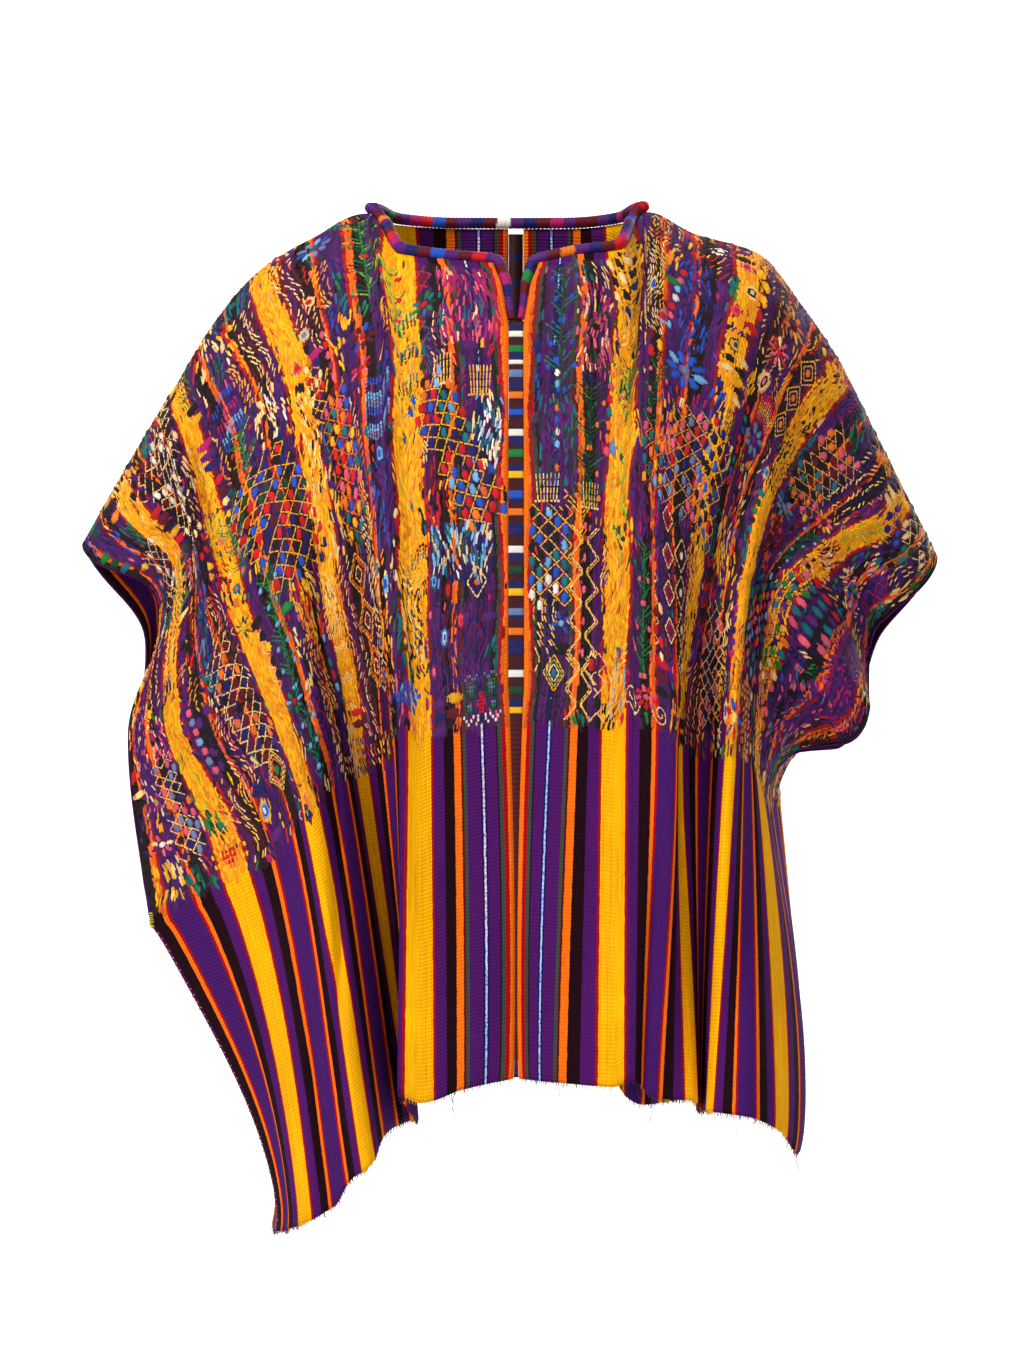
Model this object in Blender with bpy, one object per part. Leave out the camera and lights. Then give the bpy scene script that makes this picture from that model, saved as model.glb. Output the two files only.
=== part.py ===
"""Huipil blouse: two striped panels folded over the shoulders, worn on a general figure.

Units are metres, +Z up, the front faces -Y and +X is the wearer's left. The origin is
the middle of the neck at the height of the shoulder folds.
"""
import bpy
import bmesh
import numpy as np
from collections import namedtuple

# Cut sizes of the cloth
PANEL_WIDTH = 0.388        # one panel across, centre seam to side selvedge
HALF_LENGTH = 0.678        # shoulder fold to hem, front and back alike
ARMHOLE = 0.430            # shoulder fold to the top of the side seam
NECK_HALF = 0.086          # neck cut, half width measured on the flat panel
FRONT_NECK = 0.090         # depth of the neck cut in front
BACK_NECK = 0.045          # depth of the neck cut behind
SLIT_END = 0.143           # where the centre seam starts below the slit
RANDA_END = 0.425          # where the barred seam changes to the narrow one

# Thickness, gaps and trims
WALL = 0.0018              # heavy brocaded cotton
SEAM_GAP = 0.0003
SEAM_EASE = 0.0001         # the panel edges lean a little at the centre seam
BAR_PITCH = 0.0136         # one satin bar and the gap under it
BAR_RISE = 0.0007
BINDING_RADIUS = 0.0031
BINDING_THIN = 0.0019      # binding radius at the foot of the slit
BINDING_EASE = 0.0008      # room for the binding where the neck edge turns

# How finely the walls are divided
STRIPS_PER_SPAN = 3        # columns of faces between two guide lines
FRONT_ROWS = 20
BACK_ROWS = 16
PATH_STEPS = 96            # steps used to lay a guide line out at its true length

# A guide is one warp line of a panel. Its row gives the distance from the centre seam,
# the point where it starts at the neck cut or shoulder fold, and its place at four
# lengths down the cloth. The length taken up by small creases on the sleeve counts as
# taken. Millimetres; x counts outwards from the centre.
LEVELS = (0.120, 0.260, ARMHOLE, HALF_LENGTH)
Guide = namedtuple("Guide", "name across taken x0 y0 z0 x1 y1 x2 y2 x3 y3 x4 y4")

RIGHT_FRONT = (
    Guide("centre edge", 0, 0, 12, -72, -43, 5.5, -90, 5.5, -122, 5.5, -134, 1.9, -128),
    Guide("front flat", 36, -10, 50, -69, -40, 44, -88, 42, -124, 39, -137, 36, -132),
    Guide("first yellow", 72, 0, 84, -58, -35, 80, -84, 74, -125, 68, -139, 67, -137),
    Guide("neck point", 86, 0, 107, 8, 1, 96, -74, 90, -127, 80, -143, 82, -136),
    Guide("big fold recess", 122, 0, 148, 6, -17, 130, -70, 112, -112, 90, -108, 70, -98),
    Guide("second yellow", 156, 12, 186, 5, -40, 158, -66, 135, -116, 110, -94, 74, -68),
    Guide("hip fold side", 198, 40, 222, 3, -82, 190, -64, 164, -124, 124, -128, 90, -108),
    Guide("third yellow", 239, 56, 246, 2, -122, 222, -62, 192, -118, 142, -150, 103, -146),
    Guide("sleeve fold edge", 262, 60, 258, 1, -141, 236, -80, 206, -116, 152, -140, 114, -134),
    Guide("sleeve tuck", 290, 73, 274, 1, -168, 228, -58, 222, -100, 168, -112, 128, -118),
    Guide("fourth yellow", 323, 93, 291, 0, -197, 242, -52, 247, -84, 198, -92, 150, -96),
    Guide("selvedge", 388, 102, 316, 0, -241, 256, -46, 279, -40, 262, -60, 172, -36),
)
LEFT_FRONT = (
    Guide("centre edge", 0, 0, 12, -72, -43, 5.5, -90, 5.5, -122, 5.5, -134, 1.9, -128),
    Guide("front flat", 36, -8, 42, -69, -37, 44, -88, 42, -124, 38, -137, 29, -131),
    Guide("first yellow", 72, 8, 76, -58, -32, 80, -84, 72, -125, 69, -138, 68, -134),
    Guide("neck point", 86, 8, 94, 8, 2, 92, -74, 86, -127, 82, -140, 80, -137),
    Guide("front fold edge", 122, 12, 130, 6, -14, 122, -74, 108, -125, 110, -142, 98, -136),
    Guide("second yellow", 156, 22, 176, 5, -28, 158, -70, 131, -116, 115, -102, 124, -130),
    Guide("deep pleat", 198, 52, 208, 3, -66, 180, -66, 146, -104, 134, -104, 130, -90),
    Guide("third yellow", 239, 84, 236, 2, -108, 194, -64, 165, -112, 150, -132, 135, -132),
    Guide("side valley", 281, 122, 262, 1, -160, 215, -58, 172, -96, 162, -102, 160, -148),
    Guide("fourth yellow", 323, 132, 284, 0, -204, 232, -62, 186, -100, 170, -84, 186, -118),
    Guide("sleeve edge fold", 355, 134, 297, 0, -230, 246, -58, 225, -96, 175, -55, 198, -88),
    Guide("selvedge", 388, 116, 307, 0, -250, 257, -46, 250, -86, 180, -22, 203, -52),
)
RIGHT_BACK = (
    Guide("centre edge", 0, 0, 5.5, 62, -4, 5.5, 92, 5.5, 112, 5.5, 112, 1.9, 118),
    Guide("back flat", 36, 0, 45, 60, -4, 44, 90, 42, 111, 40, 110, 35, 115),
    Guide("first yellow", 72, 0, 88, 42, -3, 82, 84, 76, 112, 72, 118, 62, 128),
    Guide("neck point", 86, 0, 107, 8, 1, 98, 78, 88, 112, 82, 118, 70, 124),
    Guide("back fold 1", 122, 0, 148, 6, -17, 132, 76, 118, 104, 104, 106, 88, 104),
    Guide("second yellow", 156, 5, 186, 5, -40, 160, 72, 148, 108, 130, 122, 106, 130),
    Guide("back fold 2", 198, 34, 222, 3, -82, 194, 68, 180, 98, 156, 102, 128, 104),
    Guide("third yellow", 239, 70, 246, 2, -122, 222, 62, 208, 92, 184, 106, 150, 112),
    Guide("back fold 3", 290, 100, 274, 1, -168, 244, 58, 240, 74, 214, 76, 168, 74),
    Guide("fourth yellow", 323, 120, 291, 0, -197, 258, 50, 258, 62, 234, 56, 180, 48),
    Guide("selvedge", 388, 120, 316, 0, -241, 274, 38, 280, 20, 262, -60, 172, -40),
)
LEFT_BACK = (
    Guide("centre edge", 0, 0, 5.5, 62, -4, 5.5, 92, 5.5, 112, 5.5, 112, 1.9, 118),
    Guide("back flat", 36, 0, 42, 60, -4, 44, 90, 42, 111, 40, 110, 35, 115),
    Guide("first yellow", 72, 0, 78, 42, -2, 80, 84, 76, 112, 72, 118, 64, 126),
    Guide("neck point", 86, 0, 94, 8, 2, 92, 78, 88, 112, 82, 118, 74, 122),
    Guide("back fold 1", 122, 0, 130, 6, -14, 126, 76, 116, 102, 106, 104, 94, 102),
    Guide("second yellow", 156, 10, 176, 5, -28, 158, 72, 146, 108, 130, 120, 114, 126),
    Guide("back fold 2", 198, 52, 208, 3, -66, 186, 68, 172, 98, 150, 100, 138, 100),
    Guide("third yellow", 239, 90, 236, 2, -108, 212, 62, 196, 92, 170, 104, 162, 110),
    Guide("back fold 3", 281, 130, 262, 1, -160, 236, 58, 226, 78, 186, 78, 184, 80),
    Guide("fourth yellow", 323, 145, 284, 0, -204, 250, 50, 246, 64, 192, 48, 202, 44),
    Guide("selvedge", 388, 150, 307, 0, -250, 266, 38, 246, 30, 180, -22, 203, -52),
)

# A crease is a soft trough between two lengths, drifting across the panel from one
# distance to another. It goes into the body by its depth and out from the centre by its
# swell. Millimetres.
Crease = namedtuple("Crease", "name across_top across_foot top foot depth swell half_width")
RIGHT_CREASES = (
    Crease("slit spread", 0, 0, 60, 143, 0, 4.5, 30),
    Crease("hip tuck", 150, 268, 230, 640, 9, 0, 9),
    Crease("sleeve drag", 330, 205, 40, 250, 5, 0, 14),
    Crease("hem pinch", 286, 300, 520, 700, 7, 0, 8),
    Crease("side hollow", 388, 388, 435, 677, 0, -20, 60),
)
LEFT_CREASES = (
    Crease("slit spread", 0, 0, 60, 143, 0, 4.5, 30),
    Crease("front tuck", 108, 104, 480, 700, 6, 0, 7),
    Crease("side pull", 262, 276, 120, 400, 8, 0, 10),
    Crease("cuff crumple", 372, 392, 95, 250, 30, 0, 30),
    Crease("hip swell", 360, 380, 420, 677, 0, 16, 55),
)
BACK_CREASES = (
    Crease("blade hollow", 40, 20, 160, 420, 5, 0, 20),
    Crease("side pull", 300, 250, 150, 520, 6, 0, 14),
)


def clear_scene():
    for item in list(bpy.data.objects):
        bpy.data.objects.remove(item, do_unlink=True)


def smooth(value):
    value = np.clip(value, 0.0, 1.0)
    return value * value * (3.0 - 2.0 * value)


def even_slopes(knots, points):
    """Slopes at the knots that let a curve turn without running past its points."""
    span = np.diff(knots)[:, None]
    rise = np.diff(points, axis=0) / span
    slopes = np.zeros_like(points)
    slopes[0], slopes[-1] = rise[0], rise[-1]
    before, after = rise[:-1], rise[1:]
    turning = before * after <= 0.0
    weight_a = 2.0 * span[1:] + span[:-1]
    weight_b = span[1:] + 2.0 * span[:-1]
    safe_before = np.where(turning, 1.0, before)
    safe_after = np.where(turning, 1.0, after)
    middle = (weight_a + weight_b) / (weight_a / safe_before + weight_b / safe_after)
    soft = 0.35 * (points[2:] - points[:-2]) / (span[1:] + span[:-1])
    slopes[1:-1] = np.where(turning, soft, middle)
    return slopes


def through_points(knots, points, where, start_slope=None):
    """Smooth curve through the points at the knots, read at the places in where."""
    knots = np.asarray(knots, float)
    points = np.asarray(points, float)
    slopes = even_slopes(knots, points)
    if start_slope is not None:
        slopes[0] = start_slope
    place = np.clip(np.searchsorted(knots, where, side="right") - 1, 0, len(knots) - 2)
    span = knots[place + 1] - knots[place]
    part = ((where - knots[place]) / span)[:, None]
    span = span[:, None]
    low, high = points[place], points[place + 1]
    return (low * (1 + 2 * part) * (1 - part) ** 2
            + slopes[place] * span * part * (1 - part) ** 2
            + high * part ** 2 * (3 - 2 * part)
            + slopes[place + 1] * span * part ** 2 * (part - 1))


def neck_cut(across, depth):
    """Length lost to the neck cut on the warp line at this distance from the centre."""
    inside = 1.0 - np.clip(across / NECK_HALF, 0.0, 1.0) ** 4
    return depth * np.sqrt(inside)


def crease_push(creases, across, down):
    """How far the creases move a warp line inwards and sideways, along its length."""
    push = np.zeros((2, len(down)))
    for row in creases:
        top, foot = row.top / 1000, row.foot / 1000
        share = np.clip((down - top) / (foot - top), 0.0, 1.0)
        middle = (row.across_top + (row.across_foot - row.across_top) * share) / 1000
        away = (across - middle) / (row.half_width / 1000)
        fade = np.sin(np.pi * share) ** 0.7 if foot < HALF_LENGTH else smooth(share * 2.5)
        push[0] += row.depth / 1000 * np.exp(-away ** 2) * fade
        push[1] += row.swell / 1000 * np.exp(-away ** 2) * fade
    return push


def lay_guide(row, creases, neck_depth, facing):
    """Lay one warp line out at its true length, as x, y and z at even steps.

    x and y come from the guide's row and the creases, and the drop in z is what is left
    of each step, less the length that is taken up.
    """
    across = row.across / 1000
    start = float(neck_cut(across, neck_depth))
    points = np.array([(row.x0, row.y0), (row.x1, row.y1), (row.x2, row.y2),
                       (row.x3, row.y3), (row.x4, row.y4)]) / 1000
    down = np.linspace(start, HALF_LENGTH, PATH_STEPS)
    slope = (0.0, 0.97 * facing) if start < 0.001 else None
    path = through_points((start,) + LEVELS, points, down, slope)
    inwards, sideways = crease_push(creases, across, down)
    x, y = path[:, 0] + sideways, path[:, 1] - facing * inwards
    step = np.diff(down - row.taken / 1000 * smooth(down / ARMHOLE))
    side = np.hypot(np.diff(x), np.diff(y)) / step
    drop = step * np.sqrt(1.0 - np.clip(side, 0.0, 0.995) ** 2)
    z = row.z0 / 1000 - np.concatenate([[0.0], np.cumsum(drop)])
    return np.column_stack([path, z])


def lay_sheet(guides, creases, neck_depth, facing, across, rows):
    """Middle surface of one panel's front or back, and the length down at each point.

    The guides are laid first, and every other warp line runs smoothly between them.
    """
    line = np.array([row.across / 1000 for row in guides])
    paths = np.array([lay_guide(row, creases, neck_depth, facing) for row in guides])
    flat = through_points(line, paths.reshape(len(line), -1), across)
    flat = flat.reshape(len(across), PATH_STEPS, 3)
    begin = neck_cut(across, neck_depth)
    sheet = np.zeros((len(across), rows + 1, 3))
    lengths = np.zeros((len(across), rows + 1))
    share = np.linspace(0.0, 1.0, rows + 1)
    for column, distance in enumerate(across):
        down = np.linspace(begin[column], HALF_LENGTH, PATH_STEPS)
        inwards, sideways = crease_push(creases, distance, down)
        x, y, z = flat[column].T
        pick = HALF_LENGTH * share + begin[column] * (1.0 - share) ** 2
        lengths[column] = pick
        for axis, value in enumerate((x + sideways, y - facing * inwards, z)):
            sheet[column, :, axis] = np.interp(pick, down, value)
    return sheet, lengths


def strip_places(guides, strips):
    """Distances of the columns of faces, strips of them between two guides."""
    line = np.array([row.across / 1000 for row in guides])
    parts = [np.linspace(low, high, strips, endpoint=False)
             for low, high in zip(line[:-1], line[1:])]
    return np.concatenate(parts + [[PANEL_WIDTH]])


# Building the solids
def read_along(places, known, points):
    """Points of a line read at the given lengths."""
    return np.stack([np.interp(places, known, points[:, axis]) for axis in range(3)], axis=1)


def unit(vectors):
    return vectors / np.linalg.norm(vectors, axis=1)[:, None]


def seat_side_seam(front, back, front_down, back_down):
    """Bring the back's side edge to the front's below the armhole, then part them."""
    near_edge = smooth(np.linspace(0.0, 1.0, len(back)) * 1.6 - 0.6)[:, None, None]
    low = smooth((back_down - 0.45 * ARMHOLE) / (0.55 * ARMHOLE))[:, None]
    back += near_edge * low * (read_along(back_down, front_down, front[-1]) - back[-1])
    pulls = []
    for sheet, down, twin, twin_down in ((front, front_down, back, back_down),
                                         (back, back_down, front, front_down)):
        inwards = unit(sheet[-2] - sheet[-1])
        other = unit(read_along(down, twin_down, twin[-2] - twin[-1]))
        half = 0.5 * np.arccos(np.clip((inwards * other).sum(axis=1), -1.0, 0.99))
        half = np.clip(half, 0.35, None)
        pull = 0.5 * SEAM_GAP / np.sin(half) + 0.55 * WALL / np.tan(half)
        pulls.append(inwards * (pull * (down > ARMHOLE - 0.02))[:, None])
    front[-1] += pulls[0]
    back[-1] += pulls[1]


def panel_sheets(side):
    """Front and back middle surfaces of one panel; side is -1 for the wearer's right."""
    front_guides, back_guides = (RIGHT_FRONT, RIGHT_BACK) if side < 0 else (LEFT_FRONT,
                                                                          LEFT_BACK)
    creases = RIGHT_CREASES if side < 0 else LEFT_CREASES
    across = strip_places(front_guides, STRIPS_PER_SPAN)
    front, front_lengths = lay_sheet(front_guides, creases, FRONT_NECK, -1, across,
                                     FRONT_ROWS)
    back, back_lengths = lay_sheet(back_guides, BACK_CREASES, BACK_NECK, 1, across,
                                   BACK_ROWS)
    folded = across >= NECK_HALF - 1e-6
    back[folded, 0] = front[folded, 0]
    seat_side_seam(front, back, front_lengths[-1], back_lengths[-1])
    front[..., 0] *= side
    back[..., 0] *= side
    return front, back, across, front_lengths, back_lengths


def add_material(item, name, colour, roughness):
    material = bpy.data.materials.new(name)
    material.use_nodes = True
    shader = material.node_tree.nodes["Principled BSDF"]
    shader.inputs["Base Color"].default_value = colour + (1.0,)
    shader.inputs["Roughness"].default_value = roughness
    shader.inputs["Metallic"].default_value = 0.0
    item.data.materials.append(material)


def add_object(name, mesh_maker, colour, roughness=0.9, wall=None):
    form = bmesh.new()
    mesh_maker(form)
    mesh = bpy.data.meshes.new(name)
    form.to_mesh(mesh)
    form.free()
    item = bpy.data.objects.new(name, mesh)
    bpy.context.scene.collection.objects.link(item)
    mesh.shade_smooth()
    add_material(item, name + " cotton", colour, roughness)
    if wall:
        solid = item.modifiers.new("Cloth wall", "SOLIDIFY")
        solid.thickness = wall
        solid.offset = 0.0
        solid.use_rim = True
    return item


def fill_grid(form, grid, flip):
    for first, second in zip(grid[:-1], grid[1:]):
        for row in range(len(first) - 1):
            corners = [first[row], second[row], second[row + 1], first[row + 1]]
            form.faces.new(corners[::-1] if flip else corners)


def build_panel(name, side, sheets, colour):
    front, back, across, _, _ = sheets

    def make(form):
        front_grid = [[form.verts.new(point) for point in column] for column in front]
        back_grid = [[form.verts.new(point) for point in column] for column in back]
        for column, distance in enumerate(across):
            if distance >= NECK_HALF - 1e-6:
                form.verts.remove(back_grid[column][0])
                back_grid[column][0] = front_grid[column][0]
        fill_grid(form, front_grid, side > 0)
        fill_grid(form, back_grid, side < 0)

    return add_object(name, make, colour, wall=WALL)


def centre_line(sheets_right, sheets_left, which, places):
    """Points halfway between the two panels' centre edges, with the half width there."""
    edges = [read_along(places, sheets[3 + which][0], sheets[which][0])
             for sheets in (sheets_right, sheets_left)]
    middle = 0.5 * (edges[0] + edges[1])
    half = 0.5 * (edges[1][:, 0] - edges[0][:, 0]) - SEAM_GAP - SEAM_EASE
    return middle, half


def seam_places(start):
    """Lengths down the cloth of a randa's rows, and how far each row is raised."""
    places, rises = [start], [0.0]
    bars = int((RANDA_END - start) / BAR_PITCH)
    for bar in range(bars):
        foot = start + (bar + 0.5) * BAR_PITCH
        for shift, rise in ((-0.20, 0.0), (-0.12, 1.0), (0.12, 1.0), (0.20, 0.0)):
            places.append(foot + shift * BAR_PITCH)
            rises.append(rise * BAR_RISE)
    plain = np.linspace(RANDA_END, HALF_LENGTH, 12)
    return np.concatenate([places, plain]), np.concatenate([rises, np.zeros(12)])


def build_randa(name, which, start, sheets_right, sheets_left, colour):
    places, rises = seam_places(start)
    middle, half = centre_line(sheets_right, sheets_left, which, places)
    run = unit(np.gradient(middle, axis=0))
    outward = np.cross(run, np.array([1.0, 0.0, 0.0]))
    outward *= np.sign(outward[:, 1:2]) * (-1 if which == 0 else 1)

    def make(form):
        rings = []
        for point, width, out, rise in zip(middle, half, outward, rises):
            side = np.array([width, 0.0, 0.0])
            inner, outer = -0.5 * WALL * out, (0.5 * WALL + rise) * out
            ring = [point - side + inner, point + side + inner,
                    point + side + outer, point - side + outer]
            rings.append([form.verts.new(corner) for corner in ring])
        skin_rings(form, rings, closed=False)

    return add_object(name, make, colour, 0.8)


def skin_rings(form, rings, closed):
    count = len(rings[0])
    pairs = list(zip(rings[:-1], rings[1:])) + ([(rings[-1], rings[0])] if closed else [])
    for first, second in pairs:
        for spot in range(count):
            after = (spot + 1) % count
            form.faces.new((first[spot], first[after], second[after], second[spot]))
    if not closed:
        form.faces.new(rings[0][::-1])
        form.faces.new(rings[-1])
    bmesh.ops.recalc_face_normals(form, faces=form.faces)


def neck_path(sheets, side):
    """Cloth edge from the foot of the slit round to the middle of the back neck."""
    front, back, across, front_lengths, _ = sheets
    slit = np.linspace(SLIT_END - 0.001, FRONT_NECK + 0.006, 7)
    points = list(read_along(slit, front_lengths[0], front[0]))
    aways = [(-side, 0.0, 0.0)] * len(slit)
    neck = int(np.argmin(np.abs(across - NECK_HALF)))
    for column in range(0, neck + 1):
        points.append(front[column, 0])
        aways.append(front[column, 0] - front[column, 1])
    for column in range(neck - 1, -1, -1):
        points.append(back[column, 0])
        aways.append(back[column, 0] - back[column, 1])
    return np.array(points), unit(np.array(aways, float))


def build_binding(name, sheets_right, sheets_left, colour):
    right = neck_path(sheets_right, -1)
    left = neck_path(sheets_left, 1)
    points = np.concatenate([right[0], left[0][::-1]])
    aways = np.concatenate([right[1], left[1][::-1]])
    for _ in range(2):
        aways[1:-1] = (aways[:-2] + 2.0 * aways[1:-1] + aways[2:]) / 4.0
    run = unit(np.gradient(points, axis=0))
    aways = unit(aways - (aways * run).sum(axis=1)[:, None] * run)
    along = np.linspace(0.0, 1.0, len(points))
    radius = BINDING_THIN + (BINDING_RADIUS - BINDING_THIN) * smooth(
        np.minimum(along, 1.0 - along) * 12.0)
    centres = points + aways * (radius + SEAM_GAP + BINDING_EASE)[:, None]

    def make(form):
        rings = []
        for point, out, way, size in zip(centres, aways, run, radius):
            up = np.cross(way, out)
            angles = np.arange(8) * np.pi / 4.0
            rings.append([form.verts.new(point + size * (np.cos(a) * out + np.sin(a) * up))
                          for a in angles])
        skin_rings(form, rings, closed=False)

    return add_object(name, make, colour, 0.75)


def build_blouse():
    clear_scene()
    right = panel_sheets(-1)
    left = panel_sheets(1)
    build_panel("panel_right", -1, right, (0.20, 0.03, 0.16))
    build_panel("panel_left", 1, left, (0.20, 0.03, 0.16))
    build_randa("randa_front", 0, SLIT_END, right, left, (0.55, 0.12, 0.04))
    build_randa("randa_back", 1, BACK_NECK + 0.004, right, left, (0.55, 0.12, 0.04))
    build_binding("neck_binding", right, left, (0.25, 0.02, 0.10))


build_blouse()
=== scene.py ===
# Huipil blouse in its worn form: two striped panels with brocade, the joining
# seam, the neck binding and the hem's loose threads. Metres, +Z up, the front faces -Y.
import math
from collections import namedtuple

import bpy
import numpy as np
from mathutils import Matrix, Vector


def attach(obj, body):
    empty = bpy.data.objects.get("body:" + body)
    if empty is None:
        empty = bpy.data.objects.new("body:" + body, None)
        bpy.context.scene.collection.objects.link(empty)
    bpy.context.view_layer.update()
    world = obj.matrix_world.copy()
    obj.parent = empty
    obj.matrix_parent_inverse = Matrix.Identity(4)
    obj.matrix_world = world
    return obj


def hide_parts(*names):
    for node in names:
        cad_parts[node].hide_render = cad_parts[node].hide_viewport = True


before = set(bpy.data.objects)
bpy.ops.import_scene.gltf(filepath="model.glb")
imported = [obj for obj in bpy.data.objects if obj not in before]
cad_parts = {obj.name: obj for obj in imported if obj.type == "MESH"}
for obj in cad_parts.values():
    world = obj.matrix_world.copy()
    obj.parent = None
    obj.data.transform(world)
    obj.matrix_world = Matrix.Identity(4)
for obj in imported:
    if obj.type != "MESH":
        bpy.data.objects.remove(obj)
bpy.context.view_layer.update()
bpy.ops.object.select_all(action="DESELECT")

cut = {
    "width": 0.388, "half": 0.678, "armhole": 0.430, "neckHalf": 0.086,
    "frontNeck": 0.090, "backNeck": 0.045, "slitEnd": 0.143, "randaEnd": 0.425,
    "wall": 0.0018, "gap": 0.0003, "lean": 0.0001,
}
levels = (0.120, 0.260, cut["armhole"], cut["half"])
pathSteps = 96

# One row a warp line: distance from the centre seam, cloth taken up, then x and y at the
# start and the four levels, with z at the start. Millimetres, x outwards.
Guide = namedtuple("Guide", "name across taken x0 y0 z0 x1 y1 x2 y2 x3 y3 x4 y4")
rightFront = (
    Guide("centre edge", 0, 0, 12, -72, -43, 5.5, -90, 5.5, -122, 5.5, -134, 1.9, -128),
    Guide("front flat", 36, -10, 50, -69, -40, 44, -88, 42, -124, 39, -137, 36, -132),
    Guide("first yellow", 72, 0, 84, -58, -35, 80, -84, 74, -125, 68, -139, 67, -137),
    Guide("neck point", 86, 0, 107, 8, 1, 96, -74, 90, -127, 80, -143, 82, -136),
    Guide("big fold recess", 122, 0, 148, 6, -17, 130, -70, 112, -112, 90, -108, 70, -98),
    Guide("second yellow", 156, 12, 186, 5, -40, 158, -66, 135, -116, 110, -94, 74, -68),
    Guide("hip fold side", 198, 40, 222, 3, -82, 190, -64, 164, -124, 124, -128, 90, -108),
    Guide("third yellow", 239, 56, 246, 2, -122, 222, -62, 192, -118, 142, -150, 103, -146),
    Guide("sleeve fold edge", 262, 60, 258, 1, -141, 236, -80, 206, -116, 152, -140, 114, -134),
    Guide("sleeve tuck", 290, 73, 274, 1, -168, 228, -58, 222, -100, 168, -112, 128, -118),
    Guide("fourth yellow", 323, 93, 291, 0, -197, 242, -52, 247, -84, 198, -92, 150, -96),
    Guide("selvedge", 388, 102, 316, 0, -241, 256, -46, 279, -40, 262, -60, 172, -36),
)
leftFront = (
    Guide("centre edge", 0, 0, 12, -72, -43, 5.5, -90, 5.5, -122, 5.5, -134, 1.9, -128),
    Guide("front flat", 36, -8, 42, -69, -37, 44, -88, 42, -124, 38, -137, 29, -131),
    Guide("first yellow", 72, 8, 76, -58, -32, 80, -84, 72, -125, 69, -138, 68, -134),
    Guide("neck point", 86, 8, 94, 8, 2, 92, -74, 86, -127, 82, -140, 80, -137),
    Guide("front fold edge", 122, 12, 130, 6, -14, 122, -74, 108, -125, 110, -142, 98, -136),
    Guide("second yellow", 156, 22, 176, 5, -28, 158, -70, 131, -116, 115, -102, 124, -130),
    Guide("deep pleat", 198, 52, 208, 3, -66, 180, -66, 146, -104, 134, -104, 130, -90),
    Guide("third yellow", 239, 84, 236, 2, -108, 194, -64, 165, -112, 150, -132, 135, -132),
    Guide("side valley", 281, 122, 262, 1, -160, 215, -58, 172, -96, 162, -102, 160, -148),
    Guide("fourth yellow", 323, 132, 284, 0, -204, 232, -62, 186, -100, 170, -84, 186, -118),
    Guide("sleeve edge fold", 355, 134, 297, 0, -230, 246, -58, 225, -96, 175, -55, 198, -88),
    Guide("selvedge", 388, 116, 307, 0, -250, 257, -46, 250, -86, 180, -22, 203, -52),
)
rightBack = (
    Guide("centre edge", 0, 0, 5.5, 62, -4, 5.5, 92, 5.5, 112, 5.5, 112, 1.9, 118),
    Guide("back flat", 36, 0, 45, 60, -4, 44, 90, 42, 111, 40, 110, 35, 115),
    Guide("first yellow", 72, 0, 88, 42, -3, 82, 84, 76, 112, 72, 118, 62, 128),
    Guide("neck point", 86, 0, 107, 8, 1, 98, 78, 88, 112, 82, 118, 70, 124),
    Guide("back fold 1", 122, 0, 148, 6, -17, 132, 76, 118, 104, 104, 106, 88, 104),
    Guide("second yellow", 156, 5, 186, 5, -40, 160, 72, 148, 108, 130, 122, 106, 130),
    Guide("back fold 2", 198, 34, 222, 3, -82, 194, 68, 180, 98, 156, 102, 128, 104),
    Guide("third yellow", 239, 70, 246, 2, -122, 222, 62, 208, 92, 184, 106, 150, 112),
    Guide("back fold 3", 290, 100, 274, 1, -168, 244, 58, 240, 74, 214, 76, 168, 74),
    Guide("fourth yellow", 323, 120, 291, 0, -197, 258, 50, 258, 62, 234, 56, 180, 48),
    Guide("selvedge", 388, 120, 316, 0, -241, 274, 38, 280, 20, 262, -60, 172, -40),
)
leftBack = (
    Guide("centre edge", 0, 0, 5.5, 62, -4, 5.5, 92, 5.5, 112, 5.5, 112, 1.9, 118),
    Guide("back flat", 36, 0, 42, 60, -4, 44, 90, 42, 111, 40, 110, 35, 115),
    Guide("first yellow", 72, 0, 78, 42, -2, 80, 84, 76, 112, 72, 118, 64, 126),
    Guide("neck point", 86, 0, 94, 8, 2, 92, 78, 88, 112, 82, 118, 74, 122),
    Guide("back fold 1", 122, 0, 130, 6, -14, 126, 76, 116, 102, 106, 104, 94, 102),
    Guide("second yellow", 156, 10, 176, 5, -28, 158, 72, 146, 108, 130, 120, 114, 126),
    Guide("back fold 2", 198, 52, 208, 3, -66, 186, 68, 172, 98, 150, 100, 138, 100),
    Guide("third yellow", 239, 90, 236, 2, -108, 212, 62, 196, 92, 170, 104, 162, 110),
    Guide("back fold 3", 281, 130, 262, 1, -160, 236, 58, 226, 78, 186, 78, 184, 80),
    Guide("fourth yellow", 323, 145, 284, 0, -204, 250, 50, 246, 64, 192, 48, 202, 44),
    Guide("selvedge", 388, 150, 307, 0, -250, 266, 38, 246, 30, 180, -22, 203, -52),
)

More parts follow.
